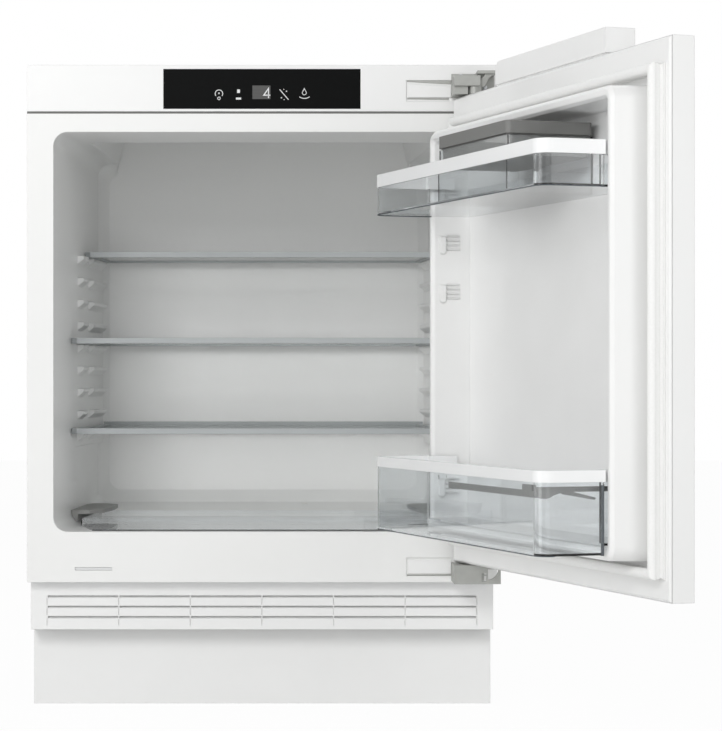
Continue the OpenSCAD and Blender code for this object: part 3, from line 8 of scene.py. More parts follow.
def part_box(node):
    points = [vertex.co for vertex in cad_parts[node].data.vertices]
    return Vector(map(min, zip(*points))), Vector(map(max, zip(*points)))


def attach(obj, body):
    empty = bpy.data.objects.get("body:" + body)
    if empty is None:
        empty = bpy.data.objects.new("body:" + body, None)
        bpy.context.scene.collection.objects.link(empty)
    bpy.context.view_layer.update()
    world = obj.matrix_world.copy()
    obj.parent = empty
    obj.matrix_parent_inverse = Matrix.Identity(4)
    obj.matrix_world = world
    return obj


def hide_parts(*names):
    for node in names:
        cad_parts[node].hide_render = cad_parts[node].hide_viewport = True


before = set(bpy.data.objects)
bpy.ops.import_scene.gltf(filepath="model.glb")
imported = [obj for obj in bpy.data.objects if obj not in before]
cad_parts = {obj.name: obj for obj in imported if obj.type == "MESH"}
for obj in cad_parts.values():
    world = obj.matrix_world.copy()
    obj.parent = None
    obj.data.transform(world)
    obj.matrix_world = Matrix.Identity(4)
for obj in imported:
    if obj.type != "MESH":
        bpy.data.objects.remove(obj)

scene = bpy.context.scene
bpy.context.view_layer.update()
MM = 0.001


def srgb(code):
    """An sRGB hex colour as linear RGBA."""
    parts = [int(code[i:i + 2], 16) / 255 for i in (1, 3, 5)]
    linear = [c / 12.92 if c <= 0.04045 else ((c + 0.055) / 1.055) ** 2.4 for c in parts]
    return (*linear, 1.0)


def per_metre(mm):
    """Texture scale at which one feature is that many millimetres across."""
    return 1000 / mm


class Nodes:
    """A node tree and short ways to add to it. A socket gets an output to link or a constant."""

    def __init__(self, tree):
        self.tree = tree
        tree.nodes.clear()

    def put(self, socket, value):
        """Links an output to a socket, or sets a constant there."""
        if isinstance(value, bpy.types.NodeSocket):
            self.tree.links.new(value, socket)
        else:
            socket.default_value = value

    def add(self, kind, inputs=None, **attributes):
        """Adds a node, sets its attributes, then its sockets by name or number."""
        made = self.tree.nodes.new(kind)
        for name, value in attributes.items():
            setattr(made, name, value)
        for socket, value in (inputs or {}).items():
            self.put(made.inputs[socket], value)
        return made

    def out(self, kind, inputs=None, **attributes):
        """Adds a node and gives its first output."""
        return self.add(kind, inputs, **attributes).outputs[0]

    def maths(self, operation, *values):
        return self.out("ShaderNodeMath", dict(enumerate(values)), operation=operation)

    def vector(self, x=0.0, y=0.0, z=0.0):
        return self.out("ShaderNodeCombineXYZ", {0: x, 1: y, 2: z})


# ---------------------------------------------------------------- camera
# The height, the focal length and the shifts of the picture are in its pixels
PICTURE_HEIGHT, FOCAL_LENGTH, SHIFT_RIGHT, SHIFT_UP = 731, 2348, 88, 12.5
SENSOR_HEIGHT = 36.0

lens = bpy.data.cameras.new("photo_view")
lens.sensor_fit = "VERTICAL"
lens.sensor_height = SENSOR_HEIGHT
lens.lens = SENSOR_HEIGHT * FOCAL_LENGTH / PICTURE_HEIGHT
lens.shift_x = SHIFT_RIGHT / PICTURE_HEIGHT
lens.shift_y = SHIFT_UP / PICTURE_HEIGHT
lens.clip_end = 60
camera = bpy.data.objects.new("photo_view", lens)
camera.location = (0.014, -2.977, 0.421)
camera.rotation_euler = (math.radians(90), 0, 0)
scene.collection.objects.link(camera)
scene.camera = camera

# ---------------------------------------------------------------- studio
scene.view_settings.view_transform = "Standard"


def white_for_lens(nodes, shader, share=1.0):
    """Mixes a share of plain white into a shader for rays from the lens, a mirror or glass."""
    ray = nodes.add("ShaderNodeLightPath").outputs
    seen = nodes.maths("MAXIMUM", ray["Is Camera Ray"], ray["Is Glossy Ray"])
    seen = nodes.maths("MAXIMUM", seen, ray["Is Transmission Ray"])
    white = nodes.out("ShaderNodeEmission", {"Color": (1, 1, 1, 1), "Strength": 1.0})
    return nodes.out("ShaderNodeMixShader",
                     {0: nodes.maths("MULTIPLY", seen, share), 1: shader, 2: white})


world = bpy.data.worlds.new("studio_walls")
scene.world = world
world.use_nodes = True
room = Nodes(world.node_tree)
walls = room.out("ShaderNodeBackground", {"Color": srgb("#FAFBFC"), "Strength": 0.47})
room.add("ShaderNodeOutputWorld", {"Surface": white_for_lens(room, walls)})


def softbox(name, at, aim, size, watts):
    """A square studio light at a point, turned to another."""
    lamp = bpy.data.lights.new(name, "AREA")
    lamp.shape = "SQUARE"
    lamp.size = size
    lamp.energy = watts
    box = bpy.data.objects.new(name, lamp)
    box.location = at
    box.rotation_euler = (Vector(aim) - Vector(at)).to_track_quat("-Z", "Y").to_euler()
    scene.collection.objects.link(box)


softbox("key_softbox", at=(-0.95, -3.0, 1.75), aim=(0.0, 0.0, 0.42), size=0.9, watts=29)
softbox("fill_softbox", at=(1.9, -2.6, 0.9), aim=(0.0, 0.1, 0.4), size=1.4, watts=9)
softbox("front_softbox", at=(0.0, -3.4, 0.5), aim=(0.0, 0.0, 0.42), size=1.6, watts=5)
softbox("left_softbox", at=(-2.6, -1.8, 0.7), aim=(0.3, -0.2, 0.45), size=1.6, watts=16)
softbox("top_softbox", at=(0.2, 0.6, 2.7), aim=(0.1, 0.1, 0.8), size=1.6, watts=8)

floor_mesh = bpy.data.meshes.new("studio_floor")
floor_mesh.from_pydata([(-7, -5, 0), (7, -5, 0), (7, 9, 0), (-7, 9, 0)], [], [(0, 1, 2, 3)])
floor = bpy.data.objects.new("studio_floor", floor_mesh)
scene.collection.objects.link(floor)
paper = bpy.data.materials.new("seamless_paper")
paper.use_nodes = True
sheet = Nodes(paper.node_tree)
matte = sheet.out("ShaderNodeBsdfDiffuse", {"Color": srgb("#F3F3F2")})
sheet.add("ShaderNodeOutputMaterial", {"Surface": white_for_lens(sheet, matte, share=0.965)})
floor_mesh.materials.append(paper)


# ---------------------------------------------------------------- finishes
# The share of a lamp's light that goes straight through a clear wall
LAMP_SHARE = 0.96
# A wave texture of one scale has stripes about this much narrower than a noise's features
WAVE_DIVISOR = 6.283
# Numbers of a Mix node's sockets for colours, whose names others have too
FIRST_COLOUR, LAST_COLOUR, MIXED_COLOUR = 6, 7, 2


class Finish(Nodes):
    """A new material: its shader, and textures on the piece with sizes in millimetres."""

    def __init__(self, name):
        self.material = bpy.data.materials.new(name)
        self.material.use_nodes = True
        super().__init__(self.material.node_tree)
        self.shader = self.add("ShaderNodeBsdfPrincipled")
        self.end = self.add("ShaderNodeOutputMaterial", {"Surface": self.shader.outputs["BSDF"]})
        self.place = self.add("ShaderNodeTexCoord").outputs["Object"]

    def noise(self, size_mm, detail=2.0):
        return self.add("ShaderNodeTexNoise", {"Vector": self.place, "Scale": per_metre(size_mm),
                                               "Detail": detail}).outputs["Fac"]

    def cells(self, size_mm, field="Distance"):
        return self.add("ShaderNodeTexVoronoi", {"Vector": self.place,
                                                 "Scale": per_metre(size_mm)}).outputs[field]

    def stripes(self, width_mm, distortion=0.0, **attributes):
        """Even stripes of about that width, as far apart as they are wide."""
        return self.add("ShaderNodeTexWave", {
            "Vector": self.place, "Scale": per_metre(width_mm) / WAVE_DIVISOR,
            "Distortion": distortion}, **attributes).outputs["Fac"]

    def blend(self, factor, first, last):
        """From one colour to another as the factor goes from 0 to 1."""
        return self.add("ShaderNodeMix", {
            "Factor": factor, FIRST_COLOUR: srgb(first), LAST_COLOUR: srgb(last)},
            data_type="RGBA").outputs[MIXED_COLOUR]

    def between(self, factor, low, high):
        return self.out("ShaderNodeMapRange", {"Value": factor, "To Min": low, "To Max": high})

    def soft_edge(self, radius_mm, samples=4):
        return self.out("ShaderNodeBevel", {"Radius": radius_mm * MM}, samples=samples)

    def relief(self, strength, depth_mm, height, over=None):
        """The normal of a surface with a texture's relief, on a soft edge or another relief."""
        made = self.add("ShaderNodeBump", {"Strength": strength, "Distance": depth_mm * MM,
                                           "Height": height})
        if over is not None:
            self.put(made.inputs["Normal"], over)
        return made.outputs[0]

    def see_through(self, tint, density):
        """Tints the depth of a clear wall, and lets most of the lamps' light straight through it,
        because it would else throw a shade like a solid wall."""
        shadow = self.add("ShaderNodeLightPath").outputs["Is Shadow Ray"]
        held = self.maths("MULTIPLY_ADD", shadow, -LAMP_SHARE, 1.0)
        depth = self.out("ShaderNodeVolumeAbsorption", {"Color": srgb(tint), "Density": density})
        self.put(self.shader.inputs["Alpha"], held)
        self.put(self.end.inputs["Volume"], depth)

    def shaded(self, **sockets):
        """Fills the shader's sockets, an underscore standing for a space; gives the material."""
        for name, value in sockets.items():
            self.put(self.shader.inputs[name.replace("_", " ")], value)
        return self.material


def coated_steel(name, light, dark, edge_mm):
    """Sheet steel with baked polyester powder: an even satin skin with a soft orange peel."""
    made = Finish(name)
    drift = made.noise(140)
    peel = made.relief(0.05, 0.2, made.noise(1.8), made.soft_edge(edge_mm))
    return made.shaded(Base_Color=made.blend(drift, dark, light), Normal=peel, IOR=1.5,
                       Roughness=made.between(drift, 0.30, 0.38))


def moulded_abs(name, light, dark, gloss, edge_mm, spark_mm=0.9):
    """Injection-moulded ABS: fine spark-eroded grain, drawn at about twice its real size so that
    it shows, faint flow marks and softened corners."""
    made = Finish(name)
    flow = made.noise(55, 3.0)
    spark = made.relief(0.07, 0.08, made.cells(spark_mm), made.soft_edge(edge_mm))
    return made.shaded(Base_Color=made.blend(flow, dark, light), Normal=spark, IOR=1.54,
                       Roughness=made.between(flow, gloss - 0.04, gloss + 0.04))


def drawn_styrene(name, light, dark, edge_mm):
    """Vacuum-drawn polystyrene: glossy where the sheet stretched, slightly wavy, soft edges."""
    made = Finish(name)
    wave = made.noise(70, 1.0)
    sag = made.relief(0.10, 0.5, wave, made.soft_edge(edge_mm, samples=6))
    stipple = made.relief(0.04, 0.1, made.noise(1.4, 1.0), sag)
    return made.shaded(Base_Color=made.blend(wave, dark, light), Normal=stipple, IOR=1.59,
                       Roughness=made.between(wave, 0.26, 0.40),
                       Coat_Weight=0.15, Coat_Roughness=0.12)


def clear_styrene(name, face, depth_tint, density):
    """Clear moulded styrene-acrylonitrile: bright flat on, blue-grey where the eye looks along a
    wall."""
    made = Finish(name)
    made.see_through(depth_tint, density)
    return made.shaded(Base_Color=srgb(face), Roughness=0.02, IOR=1.5, Transmission_Weight=1.0,
                       Normal=made.relief(0.02, 0.3, made.noise(38, 1.0)))


def float_glass(name, face, depth_tint, density):
    """Toughened float glass with ground edges: nearly clear flat on, green along its length."""
    made = Finish(name)
    made.see_through(depth_tint, density)
    return made.shaded(Base_Color=srgb(face), IOR=1.45, Transmission_Weight=1.0,
                       Roughness=made.between(made.noise(90, 4.0), 0.0, 0.04))


def lamp_diffuser(name):
    """Opal polycarbonate with fine prisms: it lets light in and hides what is behind it."""
    made = Finish(name)
    prisms = made.stripes(2.4, wave_profile="TRI", bands_direction="X")
    return made.shaded(Base_Color=made.blend(made.noise(12), "#E3E8EA", "#F3F6F7"), Roughness=0.3,
                       Normal=made.relief(0.4, 0.4, prisms), IOR=1.58, Transmission_Weight=0.45)


def back_printed_glass(name):
    """Control glass printed black on its back: deep and even, with the print's faint mottle."""
    made = Finish(name)
    return made.shaded(Base_Color=made.blend(made.noise(6, 3.0), "#0A0B0B", "#0F1010"),
                       Roughness=0.4, Normal=made.soft_edge(0.5), IOR=1.2, Specular_IOR_Level=0.2)


def smoked_window(name):
    """Smoked acrylic over a liquid-crystal cell, whose fine rows just show."""
    made = Finish(name)
    rows = made.stripes(0.9, bands_direction="Z")
    return made.shaded(Base_Color=made.blend(rows, "#545453", "#5C5C5B"), Roughness=0.18, IOR=1.3)


def screen_print(name):
    """Opaque white ink, printed about a tenth of a millimetre thick, with a faint mesh pattern."""
    made = Finish(name)
    return made.shaded(Base_Color=made.blend(made.cells(0.4), "#F1F2F2", "#D8DADA"),
                       Roughness=0.5, IOR=1.5)


def galvanised_sheet(name, light, dark):
    """Hot-dip galvanised steel: zinc crystals about 9 mm across, each catching the light its own
    way."""
    made = Finish(name)
    level = made.add("ShaderNodeSeparateColor", {0: made.cells(9, "Color")}).outputs
    return made.shaded(Base_Color=made.blend(level[0], dark, light), Metallic=0.85,
                       Roughness=made.between(level[1], 0.36, 0.55),
                       Normal=made.relief(0.08, 0.1, made.noise(1.2, 3.0), made.soft_edge(0.4)))


def cast_zinc(name, light, dark):
    """Die-cast zinc hinge under clear lacquer: pale grey, with a fine cast grain."""
    made = Finish(name)
    grain = made.relief(0.18, 0.12, made.noise(0.8, 4.0), made.soft_edge(0.8, samples=6))
    return made.shaded(Base_Color=made.blend(made.noise(14), dark, light), Metallic=0.35,
                       Roughness=0.42, Normal=grain)


def turned_steel(name):
    """Ground and zinc-plated pins and screws, with turning marks 0.5 mm wide round them."""
    made = Finish(name)
    marks = made.stripes(0.5, distortion=0.6, bands_direction="Z")
    return made.shaded(Base_Color=made.blend(made.noise(5, 3.0), "#9FA1A3", "#CDD0D2"),
                       Metallic=1.0, Roughness=0.28,
                       Normal=made.relief(0.08, 0.05, marks, made.soft_edge(0.4)))


def rolled_aluminium(name):
    """Mill-finish aluminium plate: bright, with rolling lines along the sheet."""
    made = Finish(name)
    made.place = made.out("ShaderNodeMapping", {"Vector": made.place, "Scale": (20, 400, 900)})
    lines = made.noise(1000, 4.0)
    return made.shaded(Base_Color=made.blend(lines, "#B4B7B9", "#D6D9DB"), Metallic=1.0,
                       Roughness=0.36, Normal=made.relief(0.1, 0.05, lines))


def stove_lacquer(name, light, dark, gloss):
    """Black stoving lacquer on pressed steel and wire: thick, glossy and slightly rippled."""
    made = Finish(name)
    dust = made.noise(18, 5.0)
    ripple = made.relief(0.12, 0.2, made.noise(3), made.soft_edge(0.8))
    return made.shaded(Base_Color=made.blend(dust, dark, light), Normal=ripple, IOR=1.5,
                       Roughness=made.between(dust, gloss, gloss + 0.2),
                       Coat_Weight=0.3, Coat_Roughness=0.15)


def copper_tube(name):
    """Drawn copper tube, darkened to brown in patches."""
    made = Finish(name)
    patina = made.noise(16, 5.0)
    return made.shaded(Base_Color=made.blend(patina, "#8C5337", "#D3926D"), Metallic=1.0,
                       Roughness=made.between(patina, 0.42, 0.24),
                       Normal=made.relief(0.08, 0.06, made.noise(0.9)))


def moulded_rubber(name, light, dark):
    """Moulded rubber: dull and slightly dusty, with a fine tooth."""
    made = Finish(name)
    return made.shaded(Base_Color=made.blend(made.noise(8, 4.0), dark, light), Roughness=0.72,
                       Normal=made.relief(0.15, 0.08, made.cells(0.7), made.soft_edge(0.6)),
                       IOR=1.52, Sheen_Weight=0.1)


def soft_seal(name):
    """Extruded soft PVC over a magnet strip: milky and dull, with a slightly uneven skin."""
    made = Finish(name)
    skin = made.noise(2.2)
    return made.shaded(Base_Color=made.blend(skin, "#EFEFED", "#F6F6F5"), Roughness=0.55,
                       Normal=made.relief(0.08, 0.15, skin, made.soft_edge(1.2, samples=6)),
                       IOR=1.53)


def rigid_foam(name):
    """Rigid polyurethane foam: straw-coloured, open pores about 1.5 mm across at a cut face."""
    made = Finish(name)
    pores = made.cells(1.5)
    return made.shaded(Base_Color=made.blend(pores, "#B79F63", "#E2CF98"), Roughness=0.95,
                       Normal=made.relief(0.5, 0.6, pores), IOR=1.45)


def circuit_laminate(name):
    """Glass-fibre laminate under green solder mask, with its tracks showing through."""
    made = Finish(name)
    tracks = made.add("ShaderNodeTexBrick", {
        "Vector": made.place, "Scale": per_metre(6), "Mortar Size": 0.06,
        "Color1": srgb("#1C5A34"), "Color2": srgb("#216A3D"), "Mortar": srgb("#3E8A56")}).outputs
    return made.shaded(Base_Color=tracks["Color"], Roughness=0.32, IOR=1.5,
                       Normal=made.relief(0.2, 0.05, tracks["Fac"]))


body_white = coated_steel("powder_coated_steel_white", "#F4F4F3", "#F0F0EE", 1.0)
door_white = coated_steel("powder_coated_door_sheet", "#F6F6F5", "#F2F2F1", 1.2)
liner_white = drawn_styrene("vacuum_formed_styrene_cavity", "#FAFAF9", "#F6F6F5", 3.0)
door_liner_white = drawn_styrene("vacuum_formed_styrene_door", "#F5F5F4", "#F0F0EF", 3.0)
abs_white = moulded_abs("moulded_abs_white", "#F5F5F4", "#F1F1F0", 0.34, 1.2)
abs_gloss = moulded_abs("polished_abs_white", "#F8F8F8", "#F4F5F5", 0.2, 0.8, 1.4)
abs_grey = moulded_abs("moulded_abs_dark_grey", "#767674", "#6F6F6D", 0.46, 0.6)
trim_grey = moulded_abs("moulded_trim_light_grey", "#B8BCBD", "#AFB3B4", 0.3, 0.8)
# A lighter copy of the lid's dark grey plastic: painted light, making up for the shade the tray
# guides lie in
guide_grey_painted_light = moulded_abs("moulded_guide_grey", "#A4A4A1", "#9A9A98", 0.46, 0.6)
slot_grey = moulded_abs("moulded_abs_pale_grey", "#E0E1E1", "#DADBDB", 0.4, 0.3)
# Slate grey for dark bars of painted shade along the clear racks' lower edges
edge_shade_slate = moulded_abs("moulded_edge_slate", "#3E474E", "#343C42", 0.25, 0.3)
black_plastic = moulded_abs("glass_filled_polypropylene_black", "#2B2C2D", "#232425",
                            0.55, 1.0, 1.2)
tube_grey = moulded_abs("extruded_polyethylene_grey", "#8D8F90", "#858788", 0.5, 0.4)
rack_clear = clear_styrene("clear_san_rack", "#FBFDFE", "#8FA3AF", 1.5)
tray_clear = clear_styrene("clear_san_tray", "#F8FAFB", "#98A5AB", 1.5)
shelf_glass = float_glass("toughened_float_glass", "#FAFDFC", "#A9C0B6", 2.0)
zinc_sheet = galvanised_sheet("galvanised_steel_sheet", "#BEC1C3", "#B2B5B8")
hinge_zinc = cast_zinc("lacquered_cast_zinc_hinge", "#ABACA8", "#9B9C98")
steel_pins = turned_steel("zinc_plated_turned_steel")
lacquer = stove_lacquer("stove_lacquered_steel_black", "#26272A", "#141517", 0.22)
# Grey in a rubber finish for a strip of painted shade in the gap under the fascia
joint_shade_grey = moulded_rubber("foamed_joint_tape_grey", "#747472", "#686866")
ink = screen_print("screen_printed_white_ink")

FINISH = {
    body_white: ["left_side_panel", "right_side_panel", "top_cover", "front_frame"],
    door_white: ["door_panel"],
    liner_white: ["inner_liner"],
    door_liner_white: ["door_liner"],
    abs_white: ["fascia", "hinge_covers", "vent_grille", "plinth_panel",
                "door_end_caps", "furniture_bracket"],
    abs_gloss: ["upper_rack_rim", "lower_rack_rim"],
    abs_grey: ["bottle_holder", "egg_tray", "storage_lid"],
    guide_grey_painted_light: ["tray_guides"],
    trim_grey: ["half_shelf_trim", "middle_shelf_trim", "lower_shelf_trim"],
    slot_grey: ["service_slot"],
    black_plastic: ["compressor_relay", "fan_shroud", "fan_blades", "evaporation_tray",
                    "power_inlet", "feet", "hinge_bushes"],
    tube_grey: ["drain_tube", "fan_motor"],
    rack_clear: ["upper_rack", "lower_rack", "storage_box"],
    tray_clear: ["floor_tray"],
    shelf_glass: ["half_shelf_glass", "middle_shelf_glass", "lower_shelf_glass"],
    zinc_sheet: ["bottom_pan", "rear_panel", "base_frame"],
    hinge_zinc: ["top_hinge_bracket", "bottom_hinge_bracket"],
    steel_pins: ["hinge_pins", "bracket_screws"],
    lacquer: ["compressor", "condenser_coil"],
    lamp_diffuser("opal_polycarbonate_lamp"): ["lamp_cover"],
    back_printed_glass("back_printed_control_glass"): ["control_glass"],
    smoked_window("smoked_acrylic_display"): ["display_window"],
    rolled_aluminium("mill_finish_aluminium"): ["evaporator_plate"],
    copper_tube("drawn_copper_tube"): ["refrigerant_pipes"],
    moulded_rubber("moulded_rubber_black", "#2A2A2A", "#1B1B1B"): ["compressor_mounts"],
    soft_seal("extruded_soft_pvc_seal"): ["door_gasket"],
    rigid_foam("rigid_polyurethane_foam"): ["foam_insulation", "door_foam"],
    circuit_laminate("circuit_laminate_green"): ["control_board"],
}

for material, nodes in FINISH.items():
    for node in nodes:
        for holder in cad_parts[node].material_slots:
            holder.material = material


# ---------------------------------------------------------------- pieces
def piece(name, mesh, material, body):
    """Makes a mesh a piece with one material, riding on a body."""
    mesh.name = name
    mesh.materials.clear()
    mesh.materials.append(material)
    made = bpy.data.objects.new(name, mesh)
    scene.collection.objects.link(made)
    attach(made, body)
    return made


class Growth(Nodes):
    """A geometry node tree that takes points, some numbers and a finish by name."""

    def __init__(self, name, numbers):
        super().__init__(bpy.data.node_groups.new(name, "GeometryNodeTree"))
        face = self.tree.interface
        face.new_socket("Points", in_out="INPUT", socket_type="NodeSocketGeometry")
        for label, value in numbers.items():
            kind = "NodeSocketInt" if isinstance(value, int) else "NodeSocketFloat"
            face.new_socket(label, in_out="INPUT", socket_type=kind).default_value = value
        face.new_socket("Finish", in_out="INPUT", socket_type="NodeSocketMaterial")
        face.new_socket("Geometry", in_out="OUTPUT", socket_type="NodeSocketGeometry")
        self.given = self.add("NodeGroupInput").outputs

    def block(self, size, middle):
        cube = self.out("GeometryNodeMeshCube", {"Size": size})
        return self.out("GeometryNodeTransform", {"Geometry": cube, "Translation": middle})

    def row(self, count, offset=(0, 0, 0), start=(0, 0, 0)):
        return self.out("GeometryNodeMeshLine", {"Count": count, "Offset": offset,
                                                 "Start Location": start})

    def copies(self, points, instance, **more):
        return self.out("GeometryNodeInstanceOnPoints", {"Points": points, "Instance": instance,
                                                         **more})

    def real(self, geometry):
        return self.out("GeometryNodeRealizeInstances", {"Geometry": geometry})

    def swept(self, path, section):
        return self.out("GeometryNodeCurveToMesh", {"Curve": path, "Profile Curve": section,
                                                    "Fill Caps": True})

    def wire(self, path, radius):
        return self.swept(path, self.out("GeometryNodeCurvePrimitiveCircle",
                                         {"Resolution": 8, "Radius": radius}))

    def ended(self, geometry):
        """Makes the geometry real, gives it its finish and ends the tree."""
        self.add("NodeGroupOutput", {0: self.out("GeometryNodeSetMaterial", {
            "Geometry": self.real(geometry), "Material": self.given["Finish"]})})
        return self.tree


def grown(name, tree, settings, places=((0, 0, 0),), facing=None):
    """Runs a tree on some points and returns the result as a plain mesh."""
    start = bpy.data.meshes.new(name + "_points")
    start.from_pydata([tuple(p) for p in places], [], [])
    if facing:
        store = start.attributes.new("facing", "FLOAT_VECTOR", "POINT")
        store.data.foreach_set("vector", [c for f in facing for c in f])
    carrier = bpy.data.objects.new(name + "_points", start)
    scene.collection.objects.link(carrier)
    modifier = carrier.modifiers.new("grow", "NODES")
    modifier.node_group = tree
    for item in tree.interface.items_tree:
        if item.in_out == "INPUT" and item.name in settings:
            modifier[item.identifier] = settings[item.name]
    result = carrier.evaluated_get(bpy.context.evaluated_depsgraph_get())
    mesh = bpy.data.meshes.new_from_object(result)
    carrier.modifiers.remove(modifier)
    bpy.data.objects.remove(carrier)
    bpy.data.meshes.remove(start)
    return mesh


def screw_tree():
    """Domed screw heads with a cross recess, one on each point, turned to face outwards."""
    made = Growth("cross_head_screws", {"Head radius": 0.004, "Head height": 0.002,
                                        "Recess width": 0.001})
    radius, height = made.given["Head radius"], made.given["Head height"]
    recess = made.given["Recess width"]
    ball = made.out("GeometryNodeMeshUVSphere", {"Segments": 20, "Rings": 12, "Radius": 1.0})
    dome = made.out("GeometryNodeTransform", {"Geometry": ball,
                                              "Scale": made.vector(radius, radius, height)})
    # A block takes away the lower half, and two crossed bars cut the recess
    side = made.maths("MULTIPLY", radius, 4.0)
    under = made.vector(z=made.maths("MULTIPLY", side, -0.5))
    reach = made.maths("MULTIPLY", radius, 1.15)
    cutters = [made.block(made.vector(side, side, side), under)]
    for arms in ((reach, recess), (recess, reach)):
        cutters.append(made.block(made.vector(*arms, height), made.vector(z=height)))
    head = made.add("GeometryNodeMeshBoolean", {"Mesh 1": dome}, operation="DIFFERENCE")
    for cutter in cutters:
        made.tree.links.new(cutter, head.inputs["Mesh 2"])
    way = made.out("GeometryNodeInputNamedAttribute", {"Name": "facing"}, data_type="FLOAT_VECTOR")
    turn = made.out("FunctionNodeAlignRotationToVector", {"Vector": way}, axis="Z")
    return made.ended(made.copies(made.given["Points"], head.outputs[0], Rotation=turn))


def wire_tree():
    """Layers of straight wires side by side, as a wire-and-tube condenser has on both faces."""
    made = Growth("bonded_wires", {"Wires": 29, "Wire step": 0.006, "Wire length": 0.136,
                                   "Wire radius": 0.0008})
    axis = made.out("GeometryNodeCurvePrimitiveLine",
                    {"End": made.vector(y=made.given["Wire length"])})
    row = made.row(made.given["Wires"], made.vector(made.given["Wire step"]))
    layer = made.copies(row, made.wire(axis, made.given["Wire radius"]))
    return made.ended(made.copies(made.given["Points"], layer))


def guard_tree():
    """Fan guard: concentric wire rings welded to radial bars, flat in the XY plane."""
    made = Growth("fan_guard", {"Rings": 5, "Ring step": 0.009, "First ring": 0.014, "Bars": 6,
                                "Wire radius": 0.0009})
    rings, bars = made.given["Rings"], made.given["Bars"]
    step, first = made.given["Ring step"], made.given["First ring"]
    index = made.out("GeometryNodeInputIndex")
    radius = made.maths("MULTIPLY_ADD", index, step, first)
    ring = made.out("GeometryNodeCurvePrimitiveCircle", {"Resolution": 40, "Radius": 1.0})
    outer = made.maths("MULTIPLY_ADD", rings, step, first)
    bar = made.out("GeometryNodeCurvePrimitiveLine", {"Start": made.vector(first),
                                                      "End": made.vector(outer)})
    swing = made.maths("MULTIPLY", index, made.maths("DIVIDE", math.tau, bars))
    both = made.add("GeometryNodeJoinGeometry")
    for part in (made.copies(made.row(rings), ring, Scale=made.vector(radius, radius, 1.0)),
                 made.copies(made.row(bars), bar, Rotation=made.vector(z=swing))):
        made.tree.links.new(part, both.inputs[0])
    return made.ended(made.wire(made.real(both.outputs[0]), made.given["Wire radius"]))


def grille_tree():
    """Louvred grille: a hollow face plate crossed by rows of sloping slots that are broken into
    bays."""
    made = Growth("louvred_grille", {
        "Length": 0.59, "Height": 0.0617, "Depth": 0.014, "Rows": 3, "Row step": 0.0132,
        "First row": 0.0137, "Slot height": 0.0026, "Slot rise": 0.007, "Bays": 6,
        "End margin": 0.0208, "Web": 0.0016, "Edge radius": 0.0006})
    given, vector = made.given, made.vector
    past, wall, back_wall = 0.001, 0.0025, 0.003
    groove_width, groove_depth = 0.001, 0.002
    # As shares of the step from row to row
    groove_length, groove_fall = 0.62, -0.32

    def times(value, factor, plus=0.0):
        return made.maths("MULTIPLY_ADD", value, factor, plus)

    plate = made.block(vector(given["Length"], given["Depth"], given["Height"]),
                       vector(0.0, times(given["Depth"], 0.5), times(given["Height"], 0.5)))
    # One slot: a sloping section with round corners, swept along a bay; the sweep turns
    # the section over, so that its depth and height are drawn with a minus
    back = times(given["Depth"], -1.0, -past)
    low = times(given["Slot rise"], -1.0)
    corners = (vector(past, 0.0), vector(back, low),
               vector(back, times(given["Slot height"], -1.5, low)),
               vector(past, times(given["Slot height"], -1.0)))
    first_corner = 7  # the number of that socket
    section = made.out("GeometryNodeCurvePrimitiveQuadrilateral",
                       dict(enumerate(corners, first_corner)), mode="POINTS")
    soft = made.out("GeometryNodeFilletCurve", {"Curve": section, "Count": 3,
                                                "Radius": given["Edge radius"]}, mode="POLY")
    span = times(given["End margin"], -2.0, given["Length"])
    bay = made.maths("DIVIDE", span, given["Bays"])
    run = made.out("GeometryNodeCurvePrimitiveLine", {"End": vector(times(given["Web"], -1.0, bay))})
    first_x = times(span, -0.5)
    along = made.row(given["Bays"], vector(bay),
                     vector(times(given["Web"], 0.5, first_x), 0.0, given["First row"]))
    up = made.row(given["Rows"], vector(z=given["Row step"]))
    rows = made.copies(up, made.copies(along, made.swept(run, soft)))
    # Short grooves under the slots, where the slats are divided
    groove = made.block(
        vector(groove_width, groove_depth, times(given["Row step"], groove_length)),
        vector(z=times(given["Row step"], groove_fall)))
    ends = made.row(made.maths("ADD", given["Bays"], 1.0), vector(bay),
                    vector(first_x, 0.0, given["First row"]))
    grooves = made.copies(up, made.copies(ends, groove))
    # Hollow rear, under the slots
    hollow = made.block(
        vector(times(given["Length"], 1.0, -2 * wall), given["Depth"],
               times(given["First row"], 1.0, -2 * wall)),
        vector(0.0, times(given["Depth"], 0.5, back_wall), times(given["First row"], 0.5)))
    cut = made.add("GeometryNodeMeshBoolean", {"Mesh 1": plate, "Self Intersection": True},
                   operation="DIFFERENCE", solver="EXACT")
    for cutter in (made.real(rows), made.real(grooves), hollow):
        made.tree.links.new(cutter, cut.inputs["Mesh 2"])
    return made.ended(made.copies(given["Points"], cut.outputs[0]))


# The door's turn from closed to the angle that it stands at
PIVOT = Vector((0.267, -0.035, 0))
SWING = Matrix.Rotation(math.radians(108), 4, "Z")
UNSWING = SWING.inverted()
# In millimetres: the closed door's hinge side, the middle of its depth, its bracket's top, and
# the face that the hinges are screwed to
DOOR_SIDE, DOOR_MIDDLE, BRACKET_TOP, HINGE_FACE = 298, -40, 806, -4
# In metres: the rear panel's face, and its screws' distance from the middle
REAR_FACE, REAR_EDGE = 0.495, 0.2905
# In metres: the condenser coil's corner, and the middle of the fan shroud's open face
COIL_X, COIL_Y = -0.244, 0.334
SHROUD_FACE = (-0.025, 0.402, 0.092)


def swung(x, y, z):
    """A point of the closed door in millimetres, as it stands on the open door, in metres."""
    return PIVOT + SWING @ (Vector((x, y, z)) * MM - PIVOT)


screws = screw_tree()


def screw_heads(name, body, places, facing, radius, height, recess):
    """A piece of screw heads on points, which all face the same way."""
    settings = {"Head radius": radius, "Head height": height, "Recess width": recess,
                "Finish": steel_pins}
    piece(name, grown(name, screws, settings, places, [facing] * len(places)),
          steel_pins, body)


